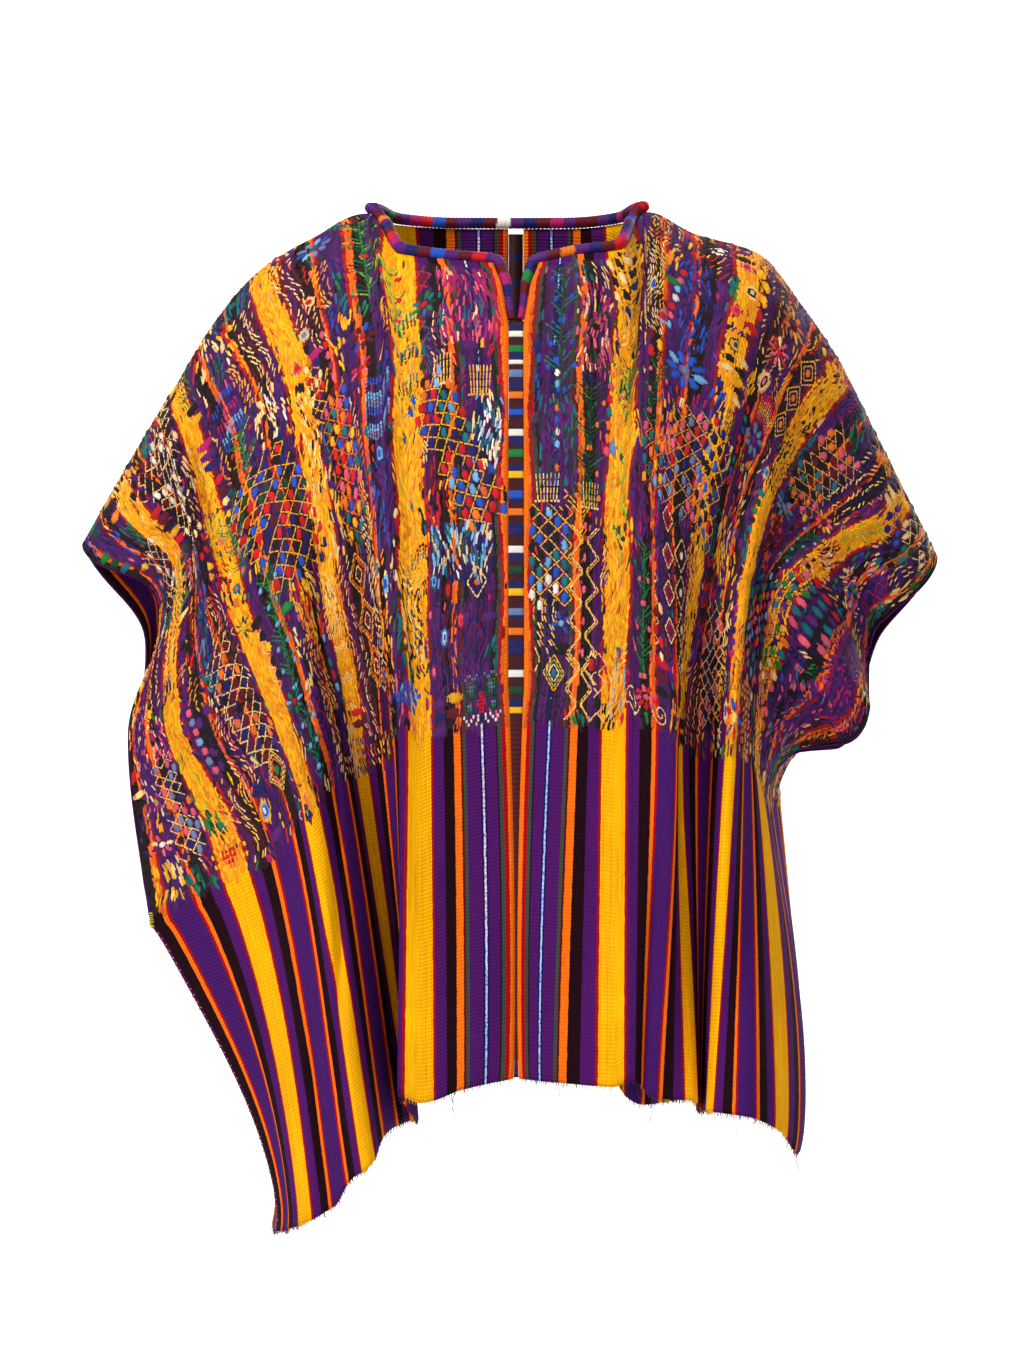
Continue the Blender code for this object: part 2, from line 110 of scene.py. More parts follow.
# Soft troughs: across at the top and foot, lengths, depth, swell, width. They are as in
# the frame, but for close seam, which draws the two panels nearer below the bars.
Crease = namedtuple("Crease", "name acrossTop acrossFoot top foot depth swell halfWidth")
rightCreases = (
    Crease("slit spread", 0, 0, 60, 143, 0, 4.5, 30),
    Crease("close seam", 0, 0, 405, 677, 0, -3.0, 40),
    Crease("hip tuck", 150, 268, 230, 640, 9, 0, 9),
    Crease("sleeve drag", 330, 205, 40, 250, 5, 0, 14),
    Crease("hem pinch", 286, 300, 520, 700, 7, 0, 8),
    Crease("side hollow", 388, 388, 435, 677, 0, -20, 60),
)
leftCreases = (
    Crease("slit spread", 0, 0, 60, 143, 0, 4.5, 30),
    Crease("close seam", 0, 0, 405, 677, 0, -3.0, 40),
    Crease("front tuck", 108, 104, 480, 700, 6, 0, 7),
    Crease("side pull", 262, 276, 120, 400, 8, 0, 10),
    Crease("cuff crumple", 372, 392, 95, 250, 30, 0, 30),
    Crease("hip swell", 360, 380, 420, 677, 0, 16, 55),
)
backCreases = (
    Crease("blade hollow", 40, 20, 160, 420, 5, 0, 20),
    Crease("side pull", 300, 250, 150, 520, 6, 0, 14),
)


def smooth(value):
    value = np.clip(value, 0.0, 1.0)
    return value * value * (3.0 - 2.0 * value)


def evenSlopes(knots, points):
    span = np.diff(knots)[:, None]
    rise = np.diff(points, axis=0) / span
    slopes = np.zeros_like(points)
    slopes[0], slopes[-1] = rise[0], rise[-1]
    before, after = rise[:-1], rise[1:]
    turning = before * after <= 0.0
    weightA = 2.0 * span[1:] + span[:-1]
    weightB = span[1:] + 2.0 * span[:-1]
    safeBefore = np.where(turning, 1.0, before)
    safeAfter = np.where(turning, 1.0, after)
    middle = (weightA + weightB) / (weightA / safeBefore + weightB / safeAfter)
    soft = 0.35 * (points[2:] - points[:-2]) / (span[1:] + span[:-1])
    slopes[1:-1] = np.where(turning, soft, middle)
    return slopes


def throughPoints(knots, points, where, startSlope=None):
    knots = np.asarray(knots, float)
    points = np.asarray(points, float)
    slopes = evenSlopes(knots, points)
    if startSlope is not None:
        slopes[0] = startSlope
    place = np.clip(np.searchsorted(knots, where, side="right") - 1, 0, len(knots) - 2)
    span = knots[place + 1] - knots[place]
    part = ((where - knots[place]) / span)[:, None]
    span = span[:, None]
    low, high = points[place], points[place + 1]
    return (low * (1 + 2 * part) * (1 - part) ** 2
            + slopes[place] * span * part * (1 - part) ** 2
            + high * part ** 2 * (3 - 2 * part)
            + slopes[place + 1] * span * part ** 2 * (part - 1))


def neckCut(across, depth):
    inside = 1.0 - np.clip(across / cut["neckHalf"], 0.0, 1.0) ** 4
    return depth * np.sqrt(inside)


def creasePush(creases, across, down):
    push = np.zeros((2, len(down)))
    for row in creases:
        top, foot = row.top / 1000, row.foot / 1000
        share = np.clip((down - top) / (foot - top), 0.0, 1.0)
        middle = (row.acrossTop + (row.acrossFoot - row.acrossTop) * share) / 1000
        away = (across - middle) / (row.halfWidth / 1000)
        fade = np.sin(np.pi * share) ** 0.7 if foot < cut["half"] else smooth(share * 2.5)
        push[0] += row.depth / 1000 * np.exp(-away ** 2) * fade
        push[1] += row.swell / 1000 * np.exp(-away ** 2) * fade
    return push


def layGuide(row, creases, neckDepth, facing):
    across = row.across / 1000
    start = float(neckCut(across, neckDepth))
    points = np.array([(row.x0, row.y0), (row.x1, row.y1), (row.x2, row.y2),
                       (row.x3, row.y3), (row.x4, row.y4)]) / 1000
    down = np.linspace(start, cut["half"], pathSteps)
    slope = (0.0, 0.97 * facing) if start < 0.001 else None
    path = throughPoints((start,) + levels, points, down, slope)
    inwards, sideways = creasePush(creases, across, down)
    x, y = path[:, 0] + sideways, path[:, 1] - facing * inwards
    step = np.diff(down - row.taken / 1000 * smooth(down / cut["armhole"]))
    side = np.hypot(np.diff(x), np.diff(y)) / step
    drop = step * np.sqrt(1.0 - np.clip(side, 0.0, 0.995) ** 2)
    z = row.z0 / 1000 - np.concatenate([[0.0], np.cumsum(drop)])
    return np.column_stack([path, z])


def laySheet(guides, creases, neckDepth, facing, across, rows):
    line = np.array([row.across / 1000 for row in guides])
    paths = np.array([layGuide(row, creases, neckDepth, facing) for row in guides])
    flat = throughPoints(line, paths.reshape(len(line), -1), across)
    flat = flat.reshape(len(across), pathSteps, 3)
    begin = neckCut(across, neckDepth)
    sheet = np.zeros((len(across), rows + 1, 3))
    lengths = np.zeros((len(across), rows + 1))
    share = np.linspace(0.0, 1.0, rows + 1)
    for column, distance in enumerate(across):
        down = np.linspace(begin[column], cut["half"], pathSteps)
        inwards, sideways = creasePush(creases, distance, down)
        x, y, z = flat[column].T
        pick = cut["half"] * share + begin[column] * (1.0 - share) ** 2
        lengths[column] = pick
        for axis, value in enumerate((x + sideways, y - facing * inwards, z)):
            sheet[column, :, axis] = np.interp(pick, down, value)
    return sheet, lengths


def stripPlaces(guides, strips):
    line = np.array([row.across / 1000 for row in guides])
    parts = [np.linspace(low, high, strips, endpoint=False)
             for low, high in zip(line[:-1], line[1:])]
    return np.concatenate(parts + [[cut["width"]]])


def readAlong(places, known, points):
    return np.stack([np.interp(places, known, points[:, axis]) for axis in range(3)], axis=1)


def unit(vectors):
    size = np.linalg.norm(vectors, axis=-1, keepdims=True)
    return vectors / np.maximum(size, 1e-12)


def seatSideSeam(front, back, frontDown, backDown):
    nearEdge = smooth(np.linspace(0.0, 1.0, len(back)) * 1.6 - 0.6)[:, None, None]
    low = smooth((backDown - 0.45 * cut["armhole"]) / (0.55 * cut["armhole"]))[:, None]
    back += nearEdge * low * (readAlong(backDown, frontDown, front[-1]) - back[-1])
    inner = len(front) // 33 + 1
    pulls = []
    for sheet, down, twin, twinDown in ((front, frontDown, back, backDown),
                                        (back, backDown, front, frontDown)):
        inwards = unit(sheet[-1 - inner] - sheet[-1])
        other = unit(readAlong(down, twinDown, twin[-1 - inner] - twin[-1]))
        half = 0.5 * np.arccos(np.clip((inwards * other).sum(axis=1), -1.0, 0.99))
        half = np.clip(half, 0.35, None)
        pull = 0.5 * cut["gap"] / np.sin(half) + 0.55 * cut["wall"] / np.tan(half)
        pulls.append(inwards * (pull * (down > cut["armhole"] - 0.02))[:, None])
    front[-1] += pulls[0]
    back[-1] += pulls[1]


# Small puckers that the heavy brocade pulls into the cloth, and soft folds below it.
def waveSum(across, down, seed, count, shortest, longest):
    rng = np.random.default_rng(seed)
    total = np.zeros_like(across)
    for _ in range(count):
        size = rng.uniform(shortest, longest)
        turn = rng.uniform(-0.9, 0.9)
        phase = rng.uniform(0.0, 2.0 * math.pi)
        total += np.sin((across * math.cos(turn) + down * math.sin(turn))
                        * 2.0 * math.pi / size + phase)
    return total / math.sqrt(count)


def puckerCloth(sheet, lengths, across, seed, endLine):
    wide = np.repeat(across[:, None], sheet.shape[1], axis=1)
    normal = sheetNormals(sheet)
    brocade = smooth((endLine + 0.01 - lengths) / 0.03)
    keep = smooth(wide / 0.02) * smooth((cut["width"] - wide) / 0.02)
    begin = lengths[:, :1]
    keep = keep * smooth((lengths - begin) / 0.03)
    small = waveSum(wide, lengths, seed, 9, 0.016, 0.034) * 0.00042
    broad = waveSum(wide, lengths * 0.35, seed + 1, 6, 0.035, 0.07) * 0.0011
    plain = waveSum(wide, lengths * 0.12, seed + 2, 5, 0.022, 0.05) * 0.0006
    lift = keep * (brocade * (small + broad) + (1.0 - brocade) * plain)
    sheet += normal * lift[..., None]


def sheetNormals(sheet):
    alongAcross = np.gradient(sheet, axis=0)
    alongDown = np.gradient(sheet, axis=1)
    return unit(np.cross(alongAcross, alongDown))


# One side of a panel as a fine grid, which can be read at any place on the cloth.
class Face:
    def __init__(self, sheet, lengths, across, side, facing, neckDepth):
        self.sheet, self.lengths, self.across = sheet, lengths, across
        self.side, self.facing, self.neckDepth = side, facing, neckDepth
        normal = sheetNormals(sheet)
        self.normal = -normal if side * facing < 0 else normal

    def read(self, across, down, lift):
        across = np.clip(across, 0.0005, cut["width"] - 0.0005)
        begin = neckCut(across, self.neckDepth)
        down = np.clip(down, begin + 0.0006, cut["half"] - 0.0006)
        half = cut["half"]
        slope = half - 2.0 * begin
        root = slope ** 2 + 4.0 * np.maximum(begin, 1e-9) * (down - begin)
        share = np.where(begin < 1e-6, down / half,
                         (np.sqrt(root) - slope) / (2.0 * np.maximum(begin, 1e-9)))
        rows = self.sheet.shape[1] - 1
        row = np.clip(share * rows, 0.0, rows - 1e-6)
        place = np.clip(np.searchsorted(self.across, across, side="right") - 1,
                        0, len(self.across) - 2)
        part = (across - self.across[place]) / (self.across[place + 1] - self.across[place])
        low = row.astype(int)
        rest = row - low
        corners = []
        for grid in (self.sheet, self.normal):
            near = (grid[place, low] * (1 - rest)[:, None]
                    + grid[place, low + 1] * rest[:, None])
            far = (grid[place + 1, low] * (1 - rest)[:, None]
                   + grid[place + 1, low + 1] * rest[:, None])
            corners.append(near * (1 - part)[:, None] + far * part[:, None])
        return corners[0] + unit(corners[1]) * lift[:, None]


def panelFaces(side, strips, frontRows, backRows):
    frontGuides, backGuides, creases = ((rightFront, rightBack, rightCreases) if side < 0
                                        else (leftFront, leftBack, leftCreases))
    across = stripPlaces(frontGuides, strips)
    front, frontDown = laySheet(frontGuides, creases, cut["frontNeck"], -1, across, frontRows)
    back, backDown = laySheet(backGuides, backCreases, cut["backNeck"], 1, across, backRows)
    folded = across >= cut["neckHalf"] - 1e-6
    back[folded, 0] = front[folded, 0]
    seatSideSeam(front, back, frontDown[-1], backDown[-1])
    puckerCloth(front, frontDown, across, 11 if side < 0 else 12, 0.425)
    puckerCloth(back, backDown, across, 13 if side < 0 else 14, 0.425)
    front[..., 0] *= side
    back[..., 0] *= side
    return (Face(front, frontDown, across, side, -1, cut["frontNeck"]),
            Face(back, backDown, across, side, 1, cut["backNeck"]))


strips, frontRows, backRows = ((10, 135, 92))
faces = {}
faces["rightFront"], faces["rightBack"] = panelFaces(-1, strips, frontRows, backRows)
faces["leftFront"], faces["leftBack"] = panelFaces(1, strips, frontRows, backRows)
print("cloth laid out")


# Shader values that can be added, multiplied and so on like numbers.
class Wire:
    def __init__(self, maker, socket):
        self.maker, self.socket = maker, socket

    def __add__(self, other):
        return self.maker.maths("ADD", self, other)

    def __radd__(self, other):
        return self.maker.maths("ADD", other, self)

    def __sub__(self, other):
        return self.maker.maths("SUBTRACT", self, other)

    def __rsub__(self, other):
        return self.maker.maths("SUBTRACT", other, self)

    def __mul__(self, other):
        return self.maker.maths("MULTIPLY", self, other)

    def __rmul__(self, other):
        return self.maker.maths("MULTIPLY", other, self)

    def __truediv__(self, other):
        return self.maker.maths("DIVIDE", self, other)

    def __rtruediv__(self, other):
        return self.maker.maths("DIVIDE", other, self)


class Maker:
    def __init__(self, name):
        self.material = bpy.data.materials.new(name)
        self.material.use_nodes = True
        self.tree = self.material.node_tree
        self.tree.nodes.clear()

    def put(self, kind, settings, sockets, output=0):
        node = self.tree.nodes.new("ShaderNode" + kind)
        for key, value in settings.items():
            setattr(node, key, value)
        for key, value in sockets.items():
            if isinstance(value, Wire):
                self.tree.links.new(value.socket, node.inputs[key])
            else:
                node.inputs[key].default_value = value
        return Wire(self, node.outputs[output]) if len(node.outputs) else None

    def maths(self, operation, *values):
        return self.put("Math", {"operation": operation}, dict(enumerate(values)))

    def mix(self, factor, first, second, kind="MIX"):
        return self.put("Mix", {"data_type": "RGBA", "blend_type": kind},
                        {0: factor, 6: first, 7: second}, 2)

    def noise(self, vector, scale, detail=2.0):
        place = self.put("Mapping", {}, {"Vector": vector, "Scale": scale})
        return self.put("TexNoise", {}, {"Vector": place, "Scale": 1.0, "Detail": detail})

    def spread(self, value, low, high, newLow, newHigh):
        return self.put("MapRange", {}, {0: value, 1: low, 2: high, 3: newLow, 4: newHigh})

    def ramp(self, value, stops, output=0):
        node = self.tree.nodes.new("ShaderNodeValToRGB")
        node.color_ramp.interpolation = "CONSTANT"
        elements = node.color_ramp.elements
        while len(elements) > 1:
            elements.remove(elements[-1])
        for number, (place, colour) in enumerate(stops):
            entry = elements[0] if number == 0 else elements.new(place)
            entry.position = place
            entry.color = colour
        self.tree.links.new(value.socket, node.inputs[0])
        return Wire(self, node.outputs[0]), Wire(self, node.outputs[1])

    def finish(self, colour, roughness, height, strength, distance, **constants):
        bump = self.put("Bump", {}, {"Strength": strength, "Distance": distance,
                                     "Height": height})
        sockets = {"Base Color": colour, "Roughness": roughness, "Normal": bump}
        sockets.update({key.replace("_", " "): value for key, value in constants.items()})
        shader = self.put("BsdfPrincipled", {}, sockets)
        self.put("OutputMaterial", {}, {"Surface": shader})
        return self.material


def tint(red, green, blue, alpha=1.0):
    channels = [value / 255.0 for value in (red, green, blue)]
    linear = [c / 12.92 if c <= 0.04045 else ((c + 0.055) / 1.055) ** 2.4 for c in channels]
    return tuple(linear) + (alpha,)


# Warp stripes from the centre seam outwards, in millimetres: where each one starts.
# Alpha 1 marks the yellow bands, which also get amber threads.
dyes = {
    "yellow": tint(255, 184, 0, 1.0), "orange": tint(250, 112, 14, 0.0),
    "red": tint(168, 2, 16, 0.0), "purple": tint(76, 18, 96, 0.0),
    "deep": tint(68, 20, 98, 0.0), "black": tint(30, 3, 12, 0.0),
    "grey": tint(62, 70, 58, 0.0), "navy": tint(16, 14, 84, 0.0),
    "maroon": tint(96, 3, 16, 0.0),
}
nearStripes = (
    (0.0, "orange"), (3.6, "red"), (6.6, "grey"), (9.4, "black"), (10.6, "purple"),
    (18.5, "navy"), (19.9, "line"), (21.3, "navy"), (22.6, "purple"), (32.4, "grey"),
    (34.9, "maroon"), (36.4, "orange"), (42.0, "black"), (50.4, "purple"), (59.6, "red"),
)
unitStart, unitLength = 61.7, 83.7
unitStripes = (
    (0.0, "yellow"), (18.0, "red"), (20.2, "purple"), (28.7, "black"), (37.4, "orange"),
    (40.5, "red"), (42.5, "deep"), (60.0, "red"), (62.0, "orange"), (65.1, "black"),
    (73.8, "purple"), (81.5, "red"),
)


def stripedCloth(name, lineTop, lineFoot, lineTurn):
    make = Maker(name)
    place = make.put("UVMap", {"uv_map": "cloth"}, {})
    across = make.put("SeparateXYZ", {}, {0: place}, 0)
    down = make.put("SeparateXYZ", {}, {0: place}, 1)
    waver = make.noise(place, (90.0, 160.0, 1.0))
    edge = across + (waver - 0.5) * 0.0009
    near, _ = make.ramp(edge * (1000.0 / unitStart),
                        [(start / unitStart, dyes.get(colour, (0.0, 0.0, 0.0, 1.0)))
                         for start, colour in nearStripes])
    part = make.maths("FRACT", (edge - unitStart / 1000) * (1000.0 / unitLength))
    far, yellow = make.ramp(part, [(start / unitLength, dyes[colour])
                                   for start, colour in unitStripes])
    isNear = make.maths("LESS_THAN", edge, unitStart / 1000)
    colour = make.mix(isNear, far, near)
    lineLow = make.maths("GREATER_THAN", edge, 0.0199)
    lineHigh = make.maths("LESS_THAN", edge, 0.0213)
    lower = make.spread(make.maths("ABSOLUTE", down), lineTurn - 0.05, lineTurn + 0.05,
                        0.0, 1.0)
    line = make.mix(lower, lineTop, lineFoot)
    flick = make.noise(place, (700.0, 420.0, 1.0))
    line = make.mix(make.spread(flick, 0.52, 0.60, 0.0, 0.75), line, tint(40, 44, 150))
    colour = make.mix(lineLow * lineHigh, colour, line)
    streak = make.noise(place, (900.0, 9.0, 1.0), 3.0)
    amber = make.spread(streak, 0.44, 0.68, 0.0, 0.62) * yellow * (1.0 - isNear)
    colour = make.mix(amber, colour, tint(226, 120, 4))
    thread = make.noise(place, (2600.0, 60.0, 1.0), 2.0)
    shade = make.spread(thread, 0.3, 0.7, 0.80, 1.12)
    # Weft ribs: a bump, and painted shade that darkens the colour in the troughs between the
    # ribs.
    rib = make.maths("SINE", down * (2.0 * math.pi / 0.0026) + waver * 5.0)
    shade = shade * make.spread(rib, -1.0, 0.4, 0.89, 1.0)
    fade = make.noise(place, (14.0, 9.0, 1.0), 3.0)
    shade = shade * make.spread(fade, 0.3, 0.7, 0.88, 1.08)
    # The colour is multiplied by the thread tone, the painted rib shade and the slow fade.
    grey = make.put("CombineColor", {}, {0: shade, 1: shade, 2: shade})
    colour = make.mix(1.0, colour, grey, "MULTIPLY")
    height = rib * 0.5 + thread * 0.9
    return make.finish(colour, 0.9, height, 0.7, 0.0005, Specular_IOR_Level=0.1)


def threadCloth(name, roughness, pitch, strength):
    make = Maker(name)
    place = make.put("UVMap", {"uv_map": "cloth"}, {})
    down = make.put("SeparateXYZ", {}, {0: place}, 1)
    colour = make.put("Attribute", {"attribute_name": "thread"}, {})
    blur = make.noise(place, (500.0, 500.0, 1.0))
    # Lines of thread across each float: a bump, and painted shade that darkens the colour in
    # the grooves between them.
    line = make.maths("SINE", down * (2.0 * math.pi / pitch) + blur * 3.0)
    shade = make.spread(line, -1.0, 0.2, 0.74, 1.04)
    grey = make.put("CombineColor", {}, {0: shade, 1: shade, 2: shade})
    colour = make.mix(1.0, colour, grey, "MULTIPLY")
    return make.finish(colour, roughness, line, strength, 0.0003,
                       Specular_IOR_Level=0.22)


blueWhite, creamPink = tint(176, 206, 250), tint(238, 214, 232)
materials = {
    "right": stripedCloth("right panel stripes", creamPink, blueWhite, 0.60),
    "left": stripedCloth("left panel stripes", blueWhite, blueWhite, 0.60),
    "brocade": threadCloth("brocade thread", 0.62, 0.0011, 0.5),
    "satin": threadCloth("satin stitch thread", 0.5, 0.0009, 0.6),
}


def meshPiece(name, points, polygons, material, places=None, colours=None, smoothed=True):
    mesh = bpy.data.meshes.new(name)
    mesh.from_pydata([tuple(point) for point in points], [], polygons)
    if places is not None:
        layer = mesh.uv_layers.new(name="cloth")
        corner = np.zeros(len(mesh.loops), dtype=np.int32)
        mesh.loops.foreach_get("vertex_index", corner)
        layer.data.foreach_set("uv", np.asarray(places, np.float32)[corner].ravel())
    if colours is not None:
        layer = mesh.color_attributes.new("thread", "FLOAT_COLOR", "POINT")
        layer.data.foreach_set("color", np.asarray(colours, np.float32).ravel())
    if smoothed:
        mesh.shade_smooth()
    piece = bpy.data.objects.new(name, mesh)
    bpy.context.scene.collection.objects.link(piece)
    piece.data.materials.append(material)
    return piece


def gridFaces(columns, rows, start, flip):
    first = start + (np.arange(columns - 1)[:, None] * rows + np.arange(rows - 1)).ravel()
    quads = np.stack([first, first + rows, first + rows + 1, first + 1], axis=1)
    return quads[:, ::-1] if flip else quads


def clothPanel(name, front, back, material):
    columns, rows = front.sheet.shape[:2]
    backRowsHere = back.sheet.shape[1]
    points = np.concatenate([front.sheet.reshape(-1, 3), back.sheet.reshape(-1, 3)])
    wide = np.repeat(front.across, rows)
    wideBack = np.repeat(back.across, backRowsHere)
    places = np.concatenate([np.column_stack([wide, front.lengths.ravel()]),
                             np.column_stack([wideBack, -back.lengths.ravel()])])
    start = columns * rows
    quads = np.concatenate([gridFaces(columns, rows, 0, front.side > 0),
                            gridFaces(columns, backRowsHere, start, front.side < 0)])
    joined = np.arange(len(points))
    folded = front.across >= cut["neckHalf"] - 1e-6
    joined[start + np.arange(columns)[folded] * backRowsHere] = (
        np.arange(columns)[folded] * rows)
    quads = joined[quads]
    kept = np.unique(quads)
    renumber = np.zeros(len(points), dtype=int)
    renumber[kept] = np.arange(len(kept))
    piece = meshPiece(name, points[kept], renumber[quads].tolist(), material, places[kept])
    wall = piece.modifiers.new("Cloth wall", "SOLIDIFY")
    wall.thickness = cut["wall"]
    wall.offset = 0.0
    wall.use_rim = True
    bpy.context.view_layer.objects.active = piece
    bpy.ops.object.modifier_apply(modifier=wall.name)
    return piece


panels = {}
for side in ("right", "left"):
    panels[side] = clothPanel("clothPanel_" + side, faces[side + "Front"],
                              faces[side + "Back"], materials[side])
    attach(panels[side], "root")
    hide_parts("panel_" + side)
print("panels woven")


def stripeColour(across):
    millimetres = across * 1000
    if millimetres < unitStart:
        table, place = nearStripes, millimetres
    else:
        table, place = unitStripes, (millimetres - unitStart) % unitLength
    name = [colour for start, colour in table if start <= place][-1]
    red, green, blue, _ = dyes.get(name, tint(200, 200, 235))
    return (red, green, blue, 1.0)


# Brocade thread colours by letter.
threads = {
    "w": tint(250, 244, 228), "c": tint(252, 220, 140), "y": tint(255, 190, 8),
    "o": tint(244, 120, 24), "r": tint(212, 14, 28), "k": tint(232, 92, 118),
    "m": tint(176, 20, 104), "a": tint(112, 186, 236), "b": tint(30, 84, 196),
    "n": tint(26, 24, 98), "t": tint(10, 112, 122), "g": tint(20, 128, 56),
    "l": tint(156, 192, 44), "d": tint(12, 66, 36), "e": tint(108, 128, 170),
    "x": tint(20, 6, 14), "p": tint(88, 26, 112), "u": tint(98, 6, 26),
    "s": tint(226, 170, 66), "h": tint(232, 132, 2),
}
# A float is one patch of raised thread: a six-cornered rim round a short ridge.
rimAcross = np.array([0.0, 1.0, 1.0, 0.0, -1.0, -1.0])
rimDown = np.array([-1.0, -1.0, 1.0, 1.0, 1.0, -1.0])
floatFaces = ((0, 1, 6), (5, 0, 6), (2, 3, 7), (3, 4, 7), (1, 2, 7), (1, 7, 6), (4, 5, 6),
              (4, 6, 7))


# Limits of the brocade on the flat panel, in millimetres, and the painted shade of a float's
# rim, darker where the thread dips into the cloth than on its ridge.
brocadeFoot, textureFoot = 427.0, 424.0
neckReach, neckMargin, foldMargin = 90.0, 6.0, 0.3
sideMargin = 1.5
rimPaintedShade = (0.8, 0.5, 0.5)


# Where the brocade starts: below the bound neck edge, and at the fold on the shoulder.
def brocadeTop(face, across):
    margin = neckMargin if across < neckReach else foldMargin
    return 1000 * float(neckCut(across / 1000, face.neckDepth)) + margin


# The slow lean of the upright threads.
def drift(across, down):
    return (0.14 * math.sin(down / 12.0 + across / 9.0)
            + 0.09 * math.sin(down / 4.7 - across / 6.0))


class Brocade:
    def __init__(self, name, face, seed):
        self.name, self.face = name, face
        self.rng = np.random.default_rng(seed)
        self.rows, self.kept = [], []

    # Rows hold across, down, width, length, turn, rise, squareness, then the colour.
    def add(self, across, down, width, length, colour, turn=0.0, rise=0.75, square=0.45):
        inside = sideMargin < across < 1000 * cut["width"] - sideMargin
        if not (inside and down < brocadeFoot):
            return
        if down < brocadeTop(self.face, across):
            return
        shade = self.rng.uniform(0.72, 1.12)
        red, green, blue, _ = threads[colour]
        self.rows.append((across, down, width, length, turn, rise, square,
                          red * shade, green * shade, blue * shade))

    def line(self, points, width, step, colour, rise=0.7):
        for (startAcross, startDown), (endAcross, endDown) in zip(points[:-1], points[1:]):
            length = math.hypot(endAcross - startAcross, endDown - startDown)
            turn = math.atan2(endAcross - startAcross, endDown - startDown)
            count = max(1, round(length / step))
            for number in range(count):
                part = (number + 0.5) / count
                self.add(startAcross + (endAcross - startAcross) * part,
                         startDown + (endDown - startDown) * part, width,
                         length / count * 1.06, colour, turn, rise, 0.8)

    def turned(self, row, right, low):
        cosine, sine = math.cos(math.radians(row.turn)), math.sin(math.radians(row.turn))
        return (row.across + right * cosine - low * sine,
                row.down + right * sine + low * cosine)

    # Staggered ovals in a slanting net of thin threads; the net takes the first colour.
    def net(self, row):
        net, cells = row.colours[0], row.colours[1:]
        pitchAcross, pitchDown = 6.3 * row.grade, 12.6 * row.grade
        columns = int(row.wide / pitchAcross)
        for column in range(columns + 1):
            for step in range(int(row.tall / pitchDown) + 1):
                right = (column - columns / 2) * pitchAcross + self.rng.uniform(-0.5, 0.5)
                low = (step - row.tall / pitchDown / 2 + 0.5 * (column % 2)) * pitchDown
                low += self.rng.uniform(-0.8, 0.8)
                pick = cells[(column + 2 * step) // 2 % len(cells)]
                if self.rng.random() < 0.2:
                    pick = cells[self.rng.integers(len(cells))]
                turn = self.rng.uniform(-0.2, 0.2) - math.radians(row.turn) * 0.55
                self.add(*self.turned(row, right, low), 5.6 * row.grade, 10.4 * row.grade,
                         pick, turn, 1.1)
                for end in (-0.5, 0.5):
                    if self.rng.random() < 0.8:
                        self.line([self.turned(row, right, low + end * pitchDown),
                                   self.turned(row, right + pitchAcross, low)],
                                  1.3, 4.6, net, 0.8)

    # Fine hatching, one thread colour and the next by turns, leaning to and fro.
    def checks(self, row):
        pitchAcross, pitchDown = 2.1 * row.grade, 6.0 * row.grade
        for step in range(int(row.tall / pitchDown) + 1):
            low = (step + 0.5) * pitchDown - row.tall / 2
            lean = 0.55 * math.sin(low / 11.0 + row.across)
            for column in range(int(row.wide / pitchAcross) + 1):
                if self.rng.random() < 0.1:
                    continue
                right = (column + 0.5) * pitchAcross - row.wide / 2
                pick = row.colours[(column + step // 3) % len(row.colours)]
                place = self.turned(row, right, low + self.rng.uniform(-0.8, 0.8))
                self.add(*place, 1.45 * row.grade, self.rng.uniform(5.6, 7.6) * row.grade,
                         pick, lean + self.rng.uniform(-0.1, 0.1), 0.7, 0.75)

    # Loose upright dashes that lean together.
    def dashes(self, row):
        count = int(row.wide * row.tall / (13.0 * row.grade ** 2))
        for _ in range(count):
            right = self.rng.uniform(-0.5, 0.5) * row.wide
            low = self.rng.uniform(-0.5, 0.5) * row.tall
            patch = math.sin(low / 9.0 + row.across) + math.sin(right / 4.0 + row.down)
            pick = row.colours[int(patch * 1.5 + self.rng.uniform(0.0, 3.0))
                               % len(row.colours)]
            place = self.turned(row, right, low)
            self.add(*place, self.rng.uniform(1.5, 3.1) * row.grade,
                     self.rng.uniform(6.0, 13.0) * row.grade, pick,
                     drift(*place) * 1.6 - math.radians(row.turn), 0.75, 0.6)

    # Rows of slanting blocks that turn back and forth.
    def zigzag(self, row):
        pitch = 3.2 * row.grade
        half = 7.0 * row.grade
        for step in range(int(row.tall / pitch) + 1):
            pick = row.colours[step // 2 % len(row.colours)]
            for column in range(int(row.wide / 2.2) + 1):
                right = column * 2.2 - row.wide / 2
                lift = abs((right + 400.0) % (2 * half) - half)
                place = self.turned(row, right, step * pitch - row.tall / 2 + lift * 0.8)
                self.add(*place, 1.9, 3.4 * row.grade, pick, 0.0, 0.7, 0.7)

    # A stem with leaves on both sides and a few fruits.
    def tree(self, row):
        leaves, fruits = row.colours[:-1], row.colours[-1]
        self.line([self.turned(row, 0, -row.tall / 2), self.turned(row, 0, row.tall / 2)],
                  1.8, 5.0, leaves[0], 0.8)
        for step in range(int(row.tall / 3.4)):
            low = (step + 0.5) * 3.4 - row.tall / 2
            reach = row.wide / 2 * (0.55 + 0.45 * math.sin(step * 0.9))
            for away in (-1, 1):
                pick = leaves[(step + away) % len(leaves)]
                self.line([self.turned(row, away * 0.8, low),
                           self.turned(row, away * reach, low - 4.5 - reach * 0.4)],
                          1.5, 4.0, pick, 0.75)
                if step % 5 == 2:
                    place = self.turned(row, away * reach * 0.8, low)
                    self.add(*place, 3.6, 5.2, fruits, 0.0, 1.15)

